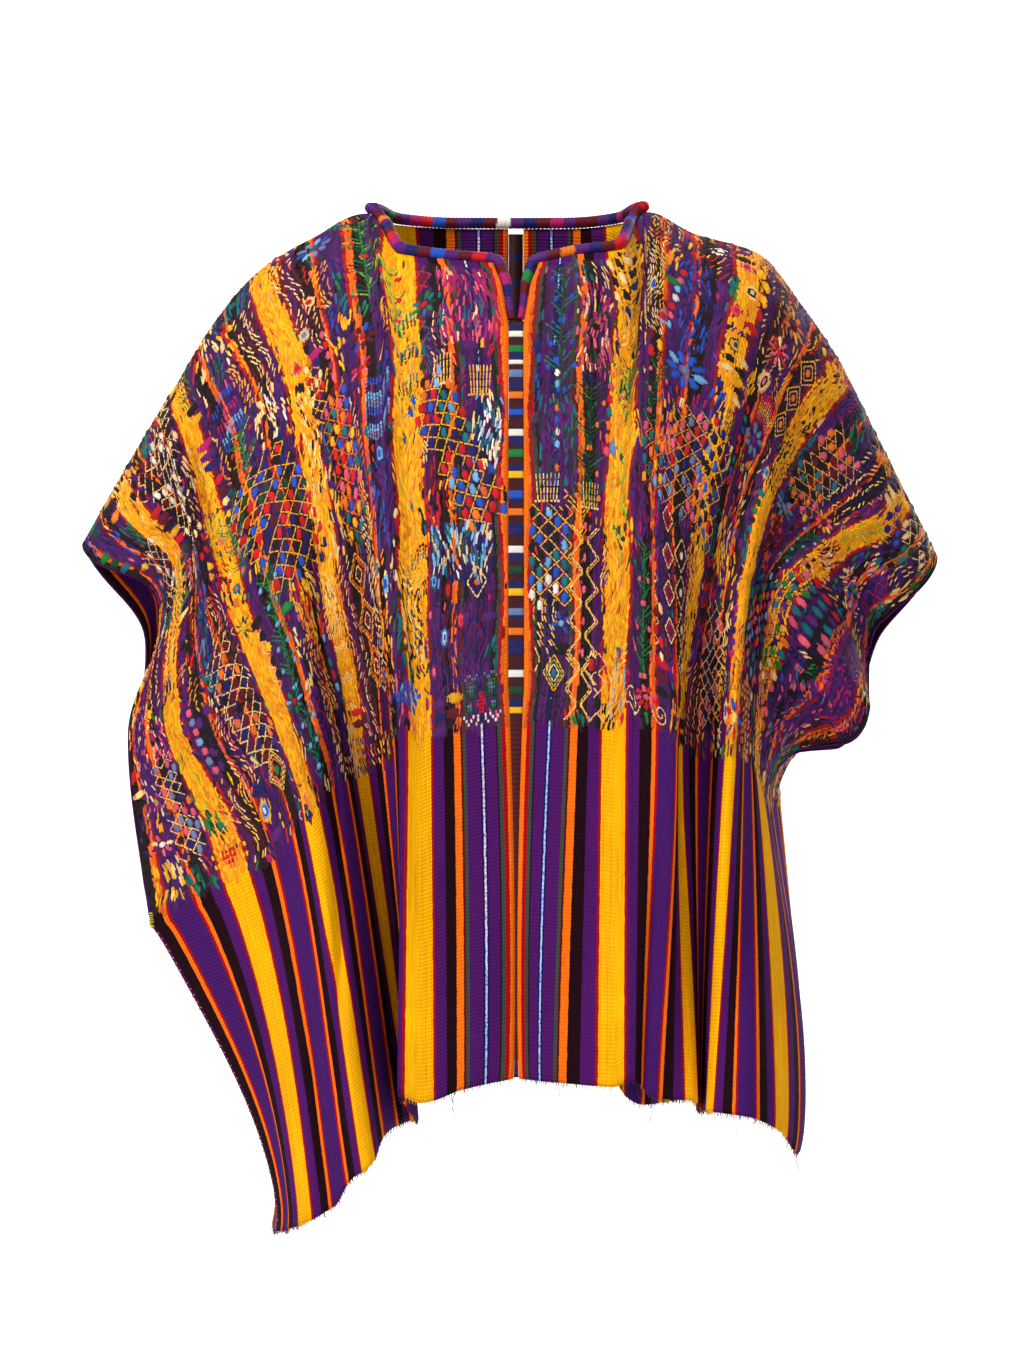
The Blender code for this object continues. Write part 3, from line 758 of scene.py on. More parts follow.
    # Upright prongs on a bar.
    def comb(self, row):
        count = max(3, int(row.wide / 2.4))
        for number in range(count):
            right = (number + 0.5) / count * row.wide - row.wide / 2
            pick = row.colours[number % len(row.colours)]
            self.line([self.turned(row, right, -row.tall / 2),
                       self.turned(row, right * 0.8, row.tall / 2)], 1.15, 5.0, pick, 0.8)
        for number in range(count):
            right = (number + 0.5) / count * row.wide - row.wide / 2
            self.add(*self.turned(row, right, row.tall / 2), 2.4, 2.0, row.colours[0],
                     0.0, 0.9, 0.8)

    # One oval inside another, the outer one first.
    def oval(self, row):
        for number, pick in enumerate(row.colours):
            part = 1.0 - number / len(row.colours) * 0.8
            self.add(row.across, row.down, row.wide * part, row.tall * part, pick,
                     -math.radians(row.turn), 0.7 + 0.45 * number, 0.42)

    # Petals round a middle.
    def flower(self, row):
        for number in range(9):
            angle = number * 2.0 * math.pi / 9.0
            pick = row.colours[number % (len(row.colours) - 1)]
            place = (row.across + row.wide * 0.3 * math.sin(angle),
                     row.down + row.tall * 0.3 * math.cos(angle))
            self.add(*place, row.wide * 0.18, row.tall * 0.36, pick, angle, 0.9)
        self.add(row.across, row.down, row.wide * 0.26, row.tall * 0.26,
                 row.colours[-1], 0.0, 1.5)

    # A curl of thread that winds inwards.
    def curl(self, row):
        points = []
        for number in range(17):
            angle = number * 0.62
            radius = 1.0 - number / 17.0 * 0.85
            points.append(self.turned(row, row.wide / 2 * radius * math.cos(angle) * row.grade,
                                      row.tall / 2 * radius * math.sin(angle)))
        self.line(points, 1.3, 3.0, row.colours[0], 1.0)

    # Crossing slanted legs, doubled.
    def legs(self, row):
        for number in range(int(row.tall / 22.0) + 1):
            low = number * 22.0 - row.tall / 2
            for away in (-1, 1):
                for shift, pick in ((0.0, row.colours[0]), (2.2, row.colours[-1])):
                    self.line([self.turned(row, away * (row.wide / 2 - shift), low),
                               self.turned(row, away * 1.4, low + 11.0 - shift),
                               self.turned(row, away * (row.wide / 2 - shift), low + 22.0)],
                              1.4, 4.5, pick, 0.8)
            if len(row.colours) > 2:
                self.add(*self.turned(row, 0.0, low), 3.4, 7.0, row.colours[1], 0.0, 1.1)

    # Diamonds one within another, in a column.
    def diamonds(self, row):
        size = row.wide / 2
        for number in range(max(1, int(row.tall / (row.wide * 1.7)))):
            low = (number + 0.5) * row.wide * 1.7 - row.tall / 2
            for ring, pick in enumerate(row.colours[:-1]):
                reach = size * (1.0 - ring / len(row.colours))
                points = [self.turned(row, reach * right, low + reach * 1.6 * tall)
                          for right, tall in ((0, -1), (1, 0), (0, 1), (-1, 0), (0, -1))]
                self.line(points, 1.45, 3.6, pick, 0.75)
            self.add(*self.turned(row, 0.0, low), size * 0.6, size * 1.0,
                     row.colours[-1], 0.0, 1.2, 0.3)

    # One single column of ovals.
    def beads(self, row):
        for number in range(int(row.tall / (9.5 * row.grade))):
            low = (number + 0.5) * 9.5 * row.grade - row.tall / 2
            pick = row.colours[number % len(row.colours)]
            place = self.turned(row, self.rng.uniform(-0.4, 0.4), low)
            self.add(*place, row.wide, 8.4 * row.grade, pick, -math.radians(row.turn), 0.95)

    # A charted motif: one letter a float, full stops left open.
    def chart(self, row, lines):
        tall, wide = row.tall / len(lines), row.wide / max(len(text) for text in lines)
        for step, text in enumerate(lines):
            for column, pick in enumerate(text):
                if pick != ".":
                    place = self.turned(row, (column + 0.5) * wide - row.wide / 2,
                                        (step + 0.5) * tall - row.tall / 2)
                    self.add(*place, wide * 1.05, tall * 1.1, pick, 0.0, 0.8, 0.75)

    # Flat patches close together, which a motif stands on.
    def ground(self, row, pick):
        for column in range(int(row.wide / 3.4) + 1):
            for step in range(int(row.tall / 6.4) + 1):
                right = (column + 0.5) * 3.4 - row.wide / 2 + self.rng.uniform(-0.5, 0.5)
                low = (step + 0.5 * (column % 2)) * 6.4 - row.tall / 2
                place = self.turned(row, right, low + self.rng.uniform(-1.2, 1.2))
                self.add(*place, 3.9, 8.4, pick, -math.radians(row.turn), 0.22, 0.6)

    def draw(self, row):
        colours, _, pick = row.colours.partition("/")
        if pick:
            self.ground(row, pick)
        full = {"oval": 1.2, "flower": 1.25, "beads": 1.3}.get(row.kind, 1.0)
        row = row._replace(colours=colours, wide=row.wide * full)
        if row.kind in charts:
            self.chart(row, charts[row.kind])
        else:
            getattr(self, row.kind)(row)
        self.kept.append(row)

    # Fine upright texture in the colour of the stripe under it, with stray threads.
    def texture(self, strays):
        for across in np.arange(3.0, 386.0, 2.3):
            down = brocadeTop(self.face, across)
            shade = 1.0
            while down < textureFoot:
                long = self.rng.uniform(5.0, 11.0)
                sway = 1.5 * math.sin(down / 19.0 + across / 31.0)
                place = across + sway + self.rng.uniform(-0.4, 0.4), down + long / 2
                if self.rng.random() < 0.9:
                    red, green, blue, _ = stripeColour(across / 1000)
                    if self.rng.random() < 0.45:
                        shade = self.rng.uniform(0.55, 1.2)
                    golden = 0.25 * (1.2 - shade) if green > 0.3 else 0.0
                    self.rows.append((*place, 2.5, long * 1.1, drift(*place), 0.5, 0.6,
                                      red * max(shade, 4 * golden, 0.9 * (golden > 0)),
                                      green * max(shade, 0.8 * (golden > 0)) * (1 - golden),
                                      blue * shade))
                elif self.rng.random() < 0.5:
                    self.add(*place, 1.5, long, strays[self.rng.integers(len(strays))],
                             drift(*place), 0.6, 0.6)
                down += long * 0.92

    def free(self, across, down):
        for row in self.kept:
            cosine, sine = (math.cos(math.radians(row.turn)), math.sin(math.radians(row.turn)))
            away, low = across - row.across, down - row.down
            if (abs(away * cosine + low * sine) < row.wide / 2 + 1.5
                    and abs(low * cosine - away * sine) < row.tall / 2 + 1.5):
                return False
        return True

    def build(self, material):
        table = np.array(self.rows)
        across, down, width, length, turn, rise, square = table[:, :7].T
        half = np.where(np.abs(rimAcross)[None, :] > 0.5, square[:, None], 1.0)
        right = np.column_stack([0.5 * width[:, None] * rimAcross, np.zeros((len(table), 2))])
        low = np.column_stack([0.5 * length[:, None] * rimDown * half,
                               -0.24 * length, 0.24 * length])
        cosine, sine = np.cos(turn)[:, None], np.sin(turn)[:, None]
        wide = across[:, None] + right * cosine + low * sine
        deep = down[:, None] - right * sine + low * cosine
        lift = np.full((len(table), 8), 0.00004 + cut["wall"] / 2)
        lift[:, 6:] = rise[:, None] / 1000 + cut["wall"] / 2
        points = self.face.read(wide.ravel() / 1000, deep.ravel() / 1000, lift.ravel())
        start = np.arange(len(table))[:, None, None] * 8
        corners = np.array(floatFaces)
        if self.face.side * self.face.facing > 0:
            corners = corners[:, ::-1]
        polygons = (start + corners).reshape(-1, 3)
        sign = -1.0 if self.face.facing > 0 else 1.0
        places = np.column_stack([wide.ravel(), sign * deep.ravel()]) / 1000
        colours = np.repeat(np.column_stack([table[:, 7:10], np.ones(len(table))]), 8, axis=0)
        # Painted shade: the six rim corners of each float take a darker colour than its two
        # ridge points.
        edge = np.arange(len(colours)) % 8 < 6
        colours[edge, :3] *= rimPaintedShade
        piece = meshPiece(self.name, points, polygons.tolist(), material, places, colours)
        print(self.name, len(table), "floats")
        return piece


charts = {
    "endMark": ("..ee..e..e..ee..", ".eddeed..deedde.", ".dgggdd..ddgggd.",
                ".dgeegd..dgeegd.", ".dgegdd..ddgegd.", ".ddggddrrddggdd.",
                "..dddd.rr.dddd..", ".dd..drrrrd..dd.", ".deed.rrrr.deed.",
                ".dggd.urru.dggd.", "..dd...rr...dd..", "w...w.w..w.w...w",
                ".w.w..w..w..w.w.", "..w..w....w..w.."),
    "buds": ("...y..y...", "..yoyyoy..", ".yo.oo.oy.", "yo.rrrr.oy", "..orrrro..",
             "yy.orro.yy", "..y.oo.y..", ".y..yy..y."),
    "bird": ("..bb......", ".babb....b", "..bbbb..bb", "...abbabb.", "...bbabb..",
             "....bbb...", "....k.k...", "...kk.kk.."),
}
Motif = namedtuple("Motif", "kind across down wide tall turn colours grade")

# The brocade of each side: kind, place across and down, size, turn, threads and grade.
# Places are millimetres on the flat panel.
rightMotifs = (
    Motif("dashes", 26, 128, 40, 58, 0, "mkptmcm", 0.95),
    Motif("checks", 48, 152, 12, 40, -6, "mcpt/x", 0.95),
    Motif("comb", 45, 176, 15, 22, 0, "cyc", 1.0),
    Motif("comb", 19, 186, 17, 22, 0, "ycy", 1.0),
    Motif("net", 36, 232, 32, 108, 26, "yrobrtnxrab/x", 0.92),
    Motif("dashes", 14, 222, 20, 50, 0, "ncwta", 0.9),
    Motif("dashes", 34, 306, 46, 40, 0, "ncatnw", 0.9),
    Motif("diamonds", 22, 330, 14, 30, 0, "cno/x", 1.0),
    Motif("oval", 56, 322, 6.5, 16, 4, "tab", 1.0),
    Motif("oval", 44, 330, 6.5, 17, 0, "urr", 1.0),
    Motif("oval", 34, 352, 7.5, 20, 0, "xrkr", 1.0),
    Motif("oval", 48, 362, 7.5, 21, 0, "bawb", 1.0),
    Motif("oval", 58, 384, 6.0, 15, 0, "mk", 1.0),
    Motif("oval", 60, 344, 6.0, 14, 0, "uk", 1.0),
    Motif("dashes", 40, 372, 44, 60, 0, "pnup", 0.8),
    Motif("endMark", 20, 408, 28, 36, 0, "g/p", 1.0),
    Motif("zigzag", 72, 146, 14, 62, 0, "ytdy", 0.9),
    Motif("checks", 72, 186, 12, 20, 0, "ygd", 0.9),
    Motif("oval", 74, 214, 4.5, 12, 0, "dt", 1.0),
    Motif("oval", 71, 262, 4.0, 13, 0, "ht", 1.0),
    Motif("dashes", 72, 236, 13, 160, 0, "yyhys", 0.8),
    Motif("checks", 73, 342, 13, 62, 0, "cyxct/x", 0.95),
    Motif("zigzag", 68, 300, 13, 26, 0, "yxty", 0.9),
    Motif("bird", 80, 406, 26, 34, 0, "b", 1.0),
    Motif("oval", 88, 392, 5.0, 18, 0, "kk", 1.0),
    Motif("tree", 92, 62, 26, 84, 0, "gddglr", 1.0),
    Motif("tree", 76, 108, 16, 56, 8, "lgyr", 1.0),
    Motif("flower", 58, 122, 17, 22, 0, "tdgr", 1.0),
    Motif("flower", 99, 132, 19, 24, 0, "ubnur", 1.0),
    Motif("flower", 102, 156, 16, 20, 0, "rukr", 1.0),
    Motif("zigzag", 92, 192, 17, 48, 0, "bnae", 0.95),
    Motif("oval", 90, 230, 6, 22, 0, "nab", 1.0),
    Motif("oval", 97, 254, 6, 20, 0, "nbe", 1.0),
    Motif("dashes", 92, 266, 17, 60, 0, "pnbp", 0.9),
    Motif("beads", 101, 212, 4.2, 60, 0, "okt", 1.0),
    Motif("checks", 110, 232, 10, 84, 4, "yotuy", 1.0),
    Motif("net", 123, 206, 18, 96, 4, "okotybr/x", 0.95),
    Motif("oval", 92, 322, 7, 26, 0, "cab", 1.0),
    Motif("oval", 100, 306, 5, 18, 0, "cte", 1.0),
    Motif("checks", 108, 300, 12, 92, 4, "cyxc/x", 1.0),
    Motif("diamonds", 122, 338, 20, 132, 5, "yoxcu/x", 1.0),
    Motif("diamonds", 106, 372, 14, 66, 0, "cxob/x", 1.0),
    Motif("checks", 138, 336, 14, 130, 4, "cxuk/u", 1.0),
    Motif("dashes", 96, 366, 15, 60, 0, "uyox", 0.9),
    Motif("checks", 138, 64, 14, 92, 8, "cuxcu/u", 0.9),
    Motif("oval", 132, 72, 9, 11, 0, "cr", 1.0),
    Motif("oval", 141, 94, 9, 12, 0, "ce", 1.0),
    Motif("oval", 152, 114, 9, 14, 0, "kr", 1.0),
    Motif("beads", 126, 128, 4.0, 58, 6, "krkm", 1.0),
    Motif("net", 139, 146, 12, 50, 4, "yncrx/x", 0.8),
    Motif("dashes", 150, 178, 15, 90, 0, "chxcy", 0.85),
    Motif("flower", 122, 22, 22, 24, 0, "eabet", 1.0),
    Motif("dashes", 157, 62, 15, 110, 0, "yhyys", 0.8),
    Motif("dashes", 157, 250, 15, 120, 0, "yhyyc", 0.8),
    Motif("checks", 158, 300, 14, 50, 0, "cyc/x", 0.95),
    Motif("zigzag", 156, 348, 14, 60, 0, "yhcy", 0.9),
    Motif("checks", 174, 66, 14, 74, 0, "cxuc/u", 0.9),
    Motif("dashes", 174, 128, 15, 46, 0, "cwpnc", 0.9),
    Motif("net", 190, 212, 54, 108, 12, "yrnxbdru/x", 1.05),
    Motif("dashes", 182, 296, 26, 48, 8, "yroyc", 0.95),
    Motif("checks", 186, 346, 16, 60, 10, "coyu/u", 0.95),
    Motif("oval", 194, 302, 6, 16, 0, "nk", 1.0),
    Motif("beads", 172, 330, 4.4, 80, 4, "ptra", 1.0),
    Motif("zigzag", 208, 88, 19, 40, 0, "bnmpa", 1.0),
    Motif("tree", 205, 134, 22, 48, 0, "gldgr", 1.0),
    Motif("tree", 214, 300, 17, 100, -4, "gtdga", 1.0),
    Motif("tree", 226, 196, 22, 60, 6, "gtlgk", 1.0),
    Motif("flower", 222, 352, 16, 22, 0, "gdtar", 1.0),
    Motif("tree", 217, 390, 15, 52, -4, "tgda", 1.0),
    Motif("oval", 226, 226, 7, 12, 0, "gk", 1.0),
    Motif("oval", 236, 232, 7, 12, 0, "tk", 1.0),
    Motif("oval", 231, 246, 7, 13, 0, "ul", 1.0),
    Motif("dashes", 239, 96, 15, 100, 0, "yhyyc", 0.8),
    Motif("checks", 240, 170, 17, 30, 0, "ytly", 1.0),
    Motif("dashes", 240, 330, 14, 150, 0, "yyhy", 0.75),
    Motif("flower", 240, 268, 14, 24, 0, "dhdl", 1.0),
    Motif("oval", 242, 426, 8, 20, 8, "upxe", 1.0),
    Motif("oval", 243, 402, 5, 14, 0, "uh", 1.0),
    Motif("net", 284, 74, 34, 80, 0, "cxwux/x", 0.85),
    Motif("beads", 262, 120, 4.2, 70, 0, "wxwe", 1.0),
    Motif("checks", 290, 142, 30, 46, 6, "cuxok/u", 1.0),
    Motif("net", 266, 316, 26, 96, 4, "cxuonu/x", 0.95),
    Motif("checks", 264, 246, 20, 42, 0, "ocxr/u", 1.0),
    Motif("diamonds", 264, 396, 20, 56, 0, "ycoxg/x", 1.0),
    Motif("oval", 286, 396, 9, 22, 0, "yabw", 1.0),
    Motif("checks", 287, 342, 14, 70, 0, "coxk/x", 1.0),
    Motif("checks", 300, 394, 12, 60, 0, "cyxu/u", 1.0),
    Motif("beads", 306, 318, 4.4, 70, 0, "keka", 1.0),
    Motif("dashes", 285, 246, 17, 80, 0, "ntpde", 0.95),
    Motif("dashes", 323, 66, 15, 84, 0, "yhyyc", 0.8),
    Motif("checks", 324, 134, 16, 44, 0, "yctl", 1.0),
    Motif("checks", 322, 206, 14, 62, 0, "yoxc", 1.0),
    Motif("buds", 322, 410, 26, 30, 0, "y", 1.0),
    Motif("dashes", 323, 320, 15, 100, 0, "yhyly", 0.8),
    Motif("net", 342, 110, 24, 74, 0, "cxxunw/x", 0.85),
    Motif("checks", 343, 214, 18, 80, 0, "cuxp/u", 1.0),
    Motif("net", 344, 356, 20, 90, 0, "ckexno/x", 0.9),
    Motif("dashes", 342, 290, 18, 40, 0, "mckp", 0.95),
    Motif("oval", 366, 66, 7, 16, 0, "pk", 1.0),
    Motif("oval", 364, 104, 8, 15, 0, "tk", 1.0),
    Motif("oval", 368, 134, 7, 16, 0, "bt", 1.0),
    Motif("oval", 366, 246, 7, 18, 0, "nk", 1.0),
    Motif("dashes", 366, 300, 20, 110, 0, "pnkpc", 0.9),
    Motif("flower", 368, 380, 18, 22, 0, "kupcw", 1.0),
    Motif("oval", 362, 344, 7, 16, 0, "ml", 1.0),
    Motif("dashes", 366, 180, 19, 90, 0, "pnpx", 0.8),
)
leftMotifs = (
    Motif("tree", 25, 152, 24, 100, 0, "dtgdb", 1.0),
    Motif("beads", 22, 220, 3.2, 100, 0, "bwano", 0.9),
    Motif("tree", 46, 236, 26, 86, 0, "dgddo", 1.0),
    Motif("dashes", 24, 232, 26, 60, 0, "pdtp", 0.8),
    Motif("dashes", 48, 148, 26, 70, 0, "kdmcp", 0.85),
    Motif("comb", 16, 264, 18, 20, 0, "cyc", 1.0),
    Motif("comb", 48, 268, 16, 18, 0, "cy", 1.0),
    Motif("net", 17, 316, 24, 68, 0, "yxbxtaw/x", 0.92),
    Motif("legs", 44, 336, 26, 92, 0, "ykc", 1.0),
    Motif("tree", 40, 288, 20, 30, 0, "yyor", 1.0),
    Motif("flower", 27, 358, 14, 20, 0, "nbnba", 1.0),
    Motif("oval", 52, 386, 9, 24, 0, "cxrr", 1.0),
    Motif("checks", 14, 366, 16, 50, 0, "ydxc", 0.95),
    Motif("diamonds", 22, 402, 16, 46, 0, "ylct/x", 1.0),
    Motif("legs", 42, 400, 22, 38, 0, "cxy", 0.9),
    Motif("net", 68, 84, 18, 66, -6, "yxnxc/x", 1.0),
    Motif("checks", 72, 132, 12, 34, 0, "yhc", 1.0),
    Motif("dashes", 72, 246, 14, 150, 0, "yhylds", 0.85),
    Motif("tree", 74, 186, 18, 44, 0, "gldk", 1.0),
    Motif("oval", 66, 230, 7, 17, 0, "ee", 1.0),
    Motif("beads", 61, 208, 4.2, 70, 0, "okrto", 1.0),
    Motif("dashes", 72, 352, 13, 70, 0, "yyhy", 0.75),
    Motif("checks", 72, 398, 13, 44, 0, "yrca", 0.95),
    Motif("oval", 73, 378, 5, 20, 0, "tk", 1.0),
    Motif("tree", 92, 350, 17, 96, 0, "gddgk", 1.0),
    Motif("dashes", 92, 276, 16, 70, 0, "puxpm", 0.85),
    Motif("curl", 84, 417, 13, 16, 0, "c", 1.0),
    Motif("flower", 95, 410, 17, 20, 0, "rkrkk", 1.0),
    Motif("curl", 106, 417, 13, 16, 0, "c", -1.0),
    Motif("tree", 95, 190, 20, 60, 12, "dgdk", 1.0),
    Motif("net", 99, 236, 20, 42, 0, "okotyae/x", 1.0),
    Motif("checks", 92, 88, 14, 88, 0, "cyxc/x", 0.95),
    Motif("oval", 100, 118, 9, 22, 10, "karr", 1.0),
    Motif("oval", 92, 92, 6, 24, 14, "cb", 1.0),
    Motif("beads", 110, 96, 4.4, 74, 10, "rkaw", 1.0),
    Motif("flower", 122, 150, 30, 34, 0, "bbabe", 1.0),
    Motif("checks", 104, 26, 20, 34, 0, "coux/u", 1.0),
    Motif("oval", 136, 24, 10, 13, 0, "wxw", 1.0),
    Motif("oval", 150, 34, 8, 12, 0, "kr", 1.0),
    Motif("oval", 156, 58, 10, 18, 0, "cxc", 1.0),
    Motif("oval", 148, 82, 10, 17, 0, "rkr", 1.0),
    Motif("oval", 152, 112, 10, 18, 0, "dsd", 1.0),
    Motif("dashes", 124, 92, 20, 84, 0, "npbnb", 0.9),
    Motif("dashes", 110, 202, 16, 44, 0, "sokxy", 0.9),
    Motif("net", 132, 222, 36, 78, 0, "sxokrne/x", 0.95),
    Motif("net", 156, 230, 20, 80, 0, "yxnxb/x", 1.05),
    Motif("diamonds", 118, 312, 16, 110, 0, "xcru/x", 1.0),
    Motif("diamonds", 133, 340, 16, 120, 0, "cxuw/x", 1.0),
    Motif("checks", 148, 330, 12, 130, 0, "xcku/u", 1.0),
    Motif("dashes", 158, 340, 15, 140, 0, "yhyxy", 0.85),
    Motif("oval", 164, 262, 10, 22, 8, "yrr", 1.0),
    Motif("zigzag", 182, 306, 22, 54, 0, "rxurp", 1.0),
    Motif("net", 198, 360, 30, 96, 0, "cxxukx/x", 0.85),
    Motif("checks", 176, 392, 20, 62, 0, "cxrx/u", 0.95),
    Motif("checks", 184, 60, 20, 74, -8, "sxnu/u", 1.0),
    Motif("flower", 194, 42, 22, 30, 0, "oysou", 1.0),
    Motif("flower", 190, 78, 18, 30, 0, "kcrkr", 1.0),
    Motif("oval", 186, 112, 10, 30, 14, "cxk", 1.0),
    Motif("zigzag", 200, 128, 22, 28, 0, "royo", 1.0),
    Motif("flower", 196, 160, 26, 32, 0, "eenep", 1.0),
    Motif("beads", 178, 186, 4.6, 84, 0, "rtbr", 1.0),
    Motif("dashes", 205, 210, 22, 50, 0, "xorxc", 0.9),
    Motif("dashes", 193, 262, 22, 46, 0, "yoxc", 0.9),
    Motif("diamonds", 220, 92, 18, 96, 0, "yxsxo/x", 1.0),
    Motif("dashes", 239, 70, 14, 74, 0, "yhyyx", 0.8),
    Motif("checks", 238, 146, 17, 70, 0, "sxyx/x", 1.0),
    Motif("oval", 226, 172, 9, 18, 0, "yat", 1.0),
    Motif("dashes", 239, 262, 15, 140, 0, "yyhy", 0.75),
    Motif("checks", 240, 352, 16, 56, 0, "yokx", 0.95),
    Motif("flower", 240, 402, 26, 38, 0, "robrkbc", 1.0),
    Motif("oval", 226, 396, 7, 24, 0, "cb", 1.0),
    Motif("net", 268, 96, 26, 84, 0, "sxokuxt/x", 0.95),
    Motif("checks", 290, 66, 24, 70, 0, "xcxn/x", 1.0),
    Motif("flower", 262, 168, 22, 30, 0, "entee", 1.0),
    Motif("dashes", 270, 214, 26, 56, 0, "urxko", 0.95),
    Motif("net", 284, 300, 44, 130, 6, "nkrtgoka/x", 1.15),
    Motif("checks", 268, 396, 24, 58, 0, "cxor/u", 0.95),
    Motif("tree", 298, 180, 24, 70, 0, "dtgda", 1.0),
    Motif("flower", 296, 124, 22, 24, 0, "koyku", 1.0),
    Motif("tree", 322, 90, 22, 60, 10, "lylyy", 1.0),
    Motif("dashes", 322, 152, 17, 50, 0, "yoxkc", 0.9),
    Motif("net", 332, 228, 36, 84, 0, "nkrtgptk/x", 1.15),
    Motif("net", 322, 330, 26, 100, 0, "xkotgckn/x", 1.05),
    Motif("checks", 320, 404, 22, 40, 0, "yxco", 1.0),
    Motif("dashes", 346, 120, 22, 90, 0, "xckbg", 0.95),
    Motif("dashes", 362, 244, 22, 120, 0, "ppmn", 0.75),
    Motif("dashes", 352, 350, 26, 110, 0, "pnkpt", 0.9),
    Motif("oval", 366, 130, 8, 20, 0, "nk", 1.0),
    Motif("oval", 364, 186, 8, 20, 0, "tg", 1.0),
)
fillKinds = ("checks", "dashes", "dashes", "net", "checks", "beads", "dashes")
fillThreads = ("cxxc", "yxhx", "npxp", "ruxy", "tdgx", "mpnp", "cxyx", "xyur", "xcur",
               "gdtx", "nbxn", "yhxy")


# Fills what is left with small repeats, in columns 13.5 mm apart.
def fillIn(brocade, seed, kinds, shortest, longest):
    rng = np.random.default_rng(seed)
    extra = Brocade(brocade.name, brocade.face, seed + 1)
    columns = [start for start in np.arange(7.0, 384.0, 13.5)]
    for start in columns:
        down = brocadeTop(brocade.face, start)
        while down < textureFoot:
            tall = rng.uniform(shortest, longest)
            kind = kinds[rng.integers(len(kinds))]
            colours = fillThreads[rng.integers(len(fillThreads))]
            row = Motif(kind, start + 6.7, down + tall / 2, 12.0, tall - 4.0,
                        0, colours, rng.uniform(0.9, 1.2))
            extra.draw(row)
            down += tall
    brocade.rows += [row for row in extra.rows if brocade.free(row[0], row[1])]


def sideBrocade(name, face, motifs, seed, shift=0.0):
    brocade = Brocade(name, face, seed)
    brocade.texture("xupnrtdk")
    for row in motifs:
        if shift:
            row = row._replace(down=row.down * 0.94 + shift, turn=-row.turn)
        brocade.draw(row)
    fillIn(brocade, seed, fillKinds, 22.0, 60.0)
    piece = brocade.build(materials["brocade"])
    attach(piece, "root")
    side = "right" if face.side < 0 else "left"
    "panel_" + side + "_cloth"
    return piece


brocades = {
    "right": [sideBrocade("brocade_right_front", faces["rightFront"], rightMotifs, 21),
              sideBrocade("brocade_right_back", faces["rightBack"], leftMotifs, 31, 8.0)],
    "left": [sideBrocade("brocade_left_front", faces["leftFront"], leftMotifs, 41),
             sideBrocade("brocade_left_back", faces["leftBack"], rightMotifs, 51, 8.0)],
}
print("brocade laid")


class Tubes:
    def __init__(self):
        self.points, self.polygons, self.colours, self.places = [], [], [], []

    # A round thread through the points; radii taper by the list of sizes.
    def add(self, path, sizes, colour, sides=5, capped=True):
        path = np.asarray(path, float)
        run = unit(np.gradient(path, axis=0))
        guide = np.array([0.0, 0.0, 1.0]) if abs(run[0, 2]) < 0.8 else np.array([1.0, 0, 0])
        right = unit(np.cross(run, guide))
        up = np.cross(right, run)
        start = len(self.points)
        length = 0.0
        for number, point in enumerate(path):
            if number:
                length += float(np.linalg.norm(point - path[number - 1]))
            for corner in range(sides):
                angle = corner * 2.0 * math.pi / sides
                self.points.append(point + sizes[number] * (math.cos(angle) * right[number]
                                                            + math.sin(angle) * up[number]))
                self.colours.append(colour)
                self.places.append((corner / sides * 0.001, length))
        for number in range(len(path) - 1):
            for corner in range(sides):
                after = (corner + 1) % sides
                low = start + number * sides
                self.polygons.append((low + corner, low + sides + corner,
                                      low + sides + after, low + after))
        if capped:
            self.polygons.append(tuple(start + corner for corner in range(sides)))
            last = start + (len(path) - 1) * sides
            self.polygons.append(tuple(last + corner for corner in range(sides))[::-1])

    def build(self, name, material):
        piece = meshPiece(name, self.points, self.polygons, material, self.places,
                          self.colours)
        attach(piece, "root")
        return piece


def dyed(letter, shade=1.0):
    red, green, blue, alpha = threads[letter]
    return (red * shade, green * shade, blue * shade, alpha)


# The joining seam: bars of satin stitch down to the end of the brocade, then close
# stitches. Lengths down the cloth in millimetres, half height and thread.
seam = {
    "bars": ((152.5, 2.2, "w"), (163.5, 2.4, "g"), (173.7, 1.4, "w"), (181.8, 2.6, "e"),
             (197.9, 2.6, "o"), (210.3, 2.2, "b"), (224.9, 2.5, "w"), (239.6, 2.6, "g"),
             (254.9, 2.6, "y"), (268.8, 2.6, "b"), (281.3, 2.6, "o"), (295.0, 2.4, "n"),
             (307.4, 2.4, "w"), (321.8, 2.6, "d"), (337.6, 2.4, "y"), (351.3, 2.4, "e"),
             (365.1, 2.4, "o"), (378.8, 2.4, "n"), (394.6, 2.6, "w"), (406.3, 2.6, "d"),
             (420.0, 2.2, "y")),
    "step": 0.0006, "columns": 9, "rise": 0.0010,
}


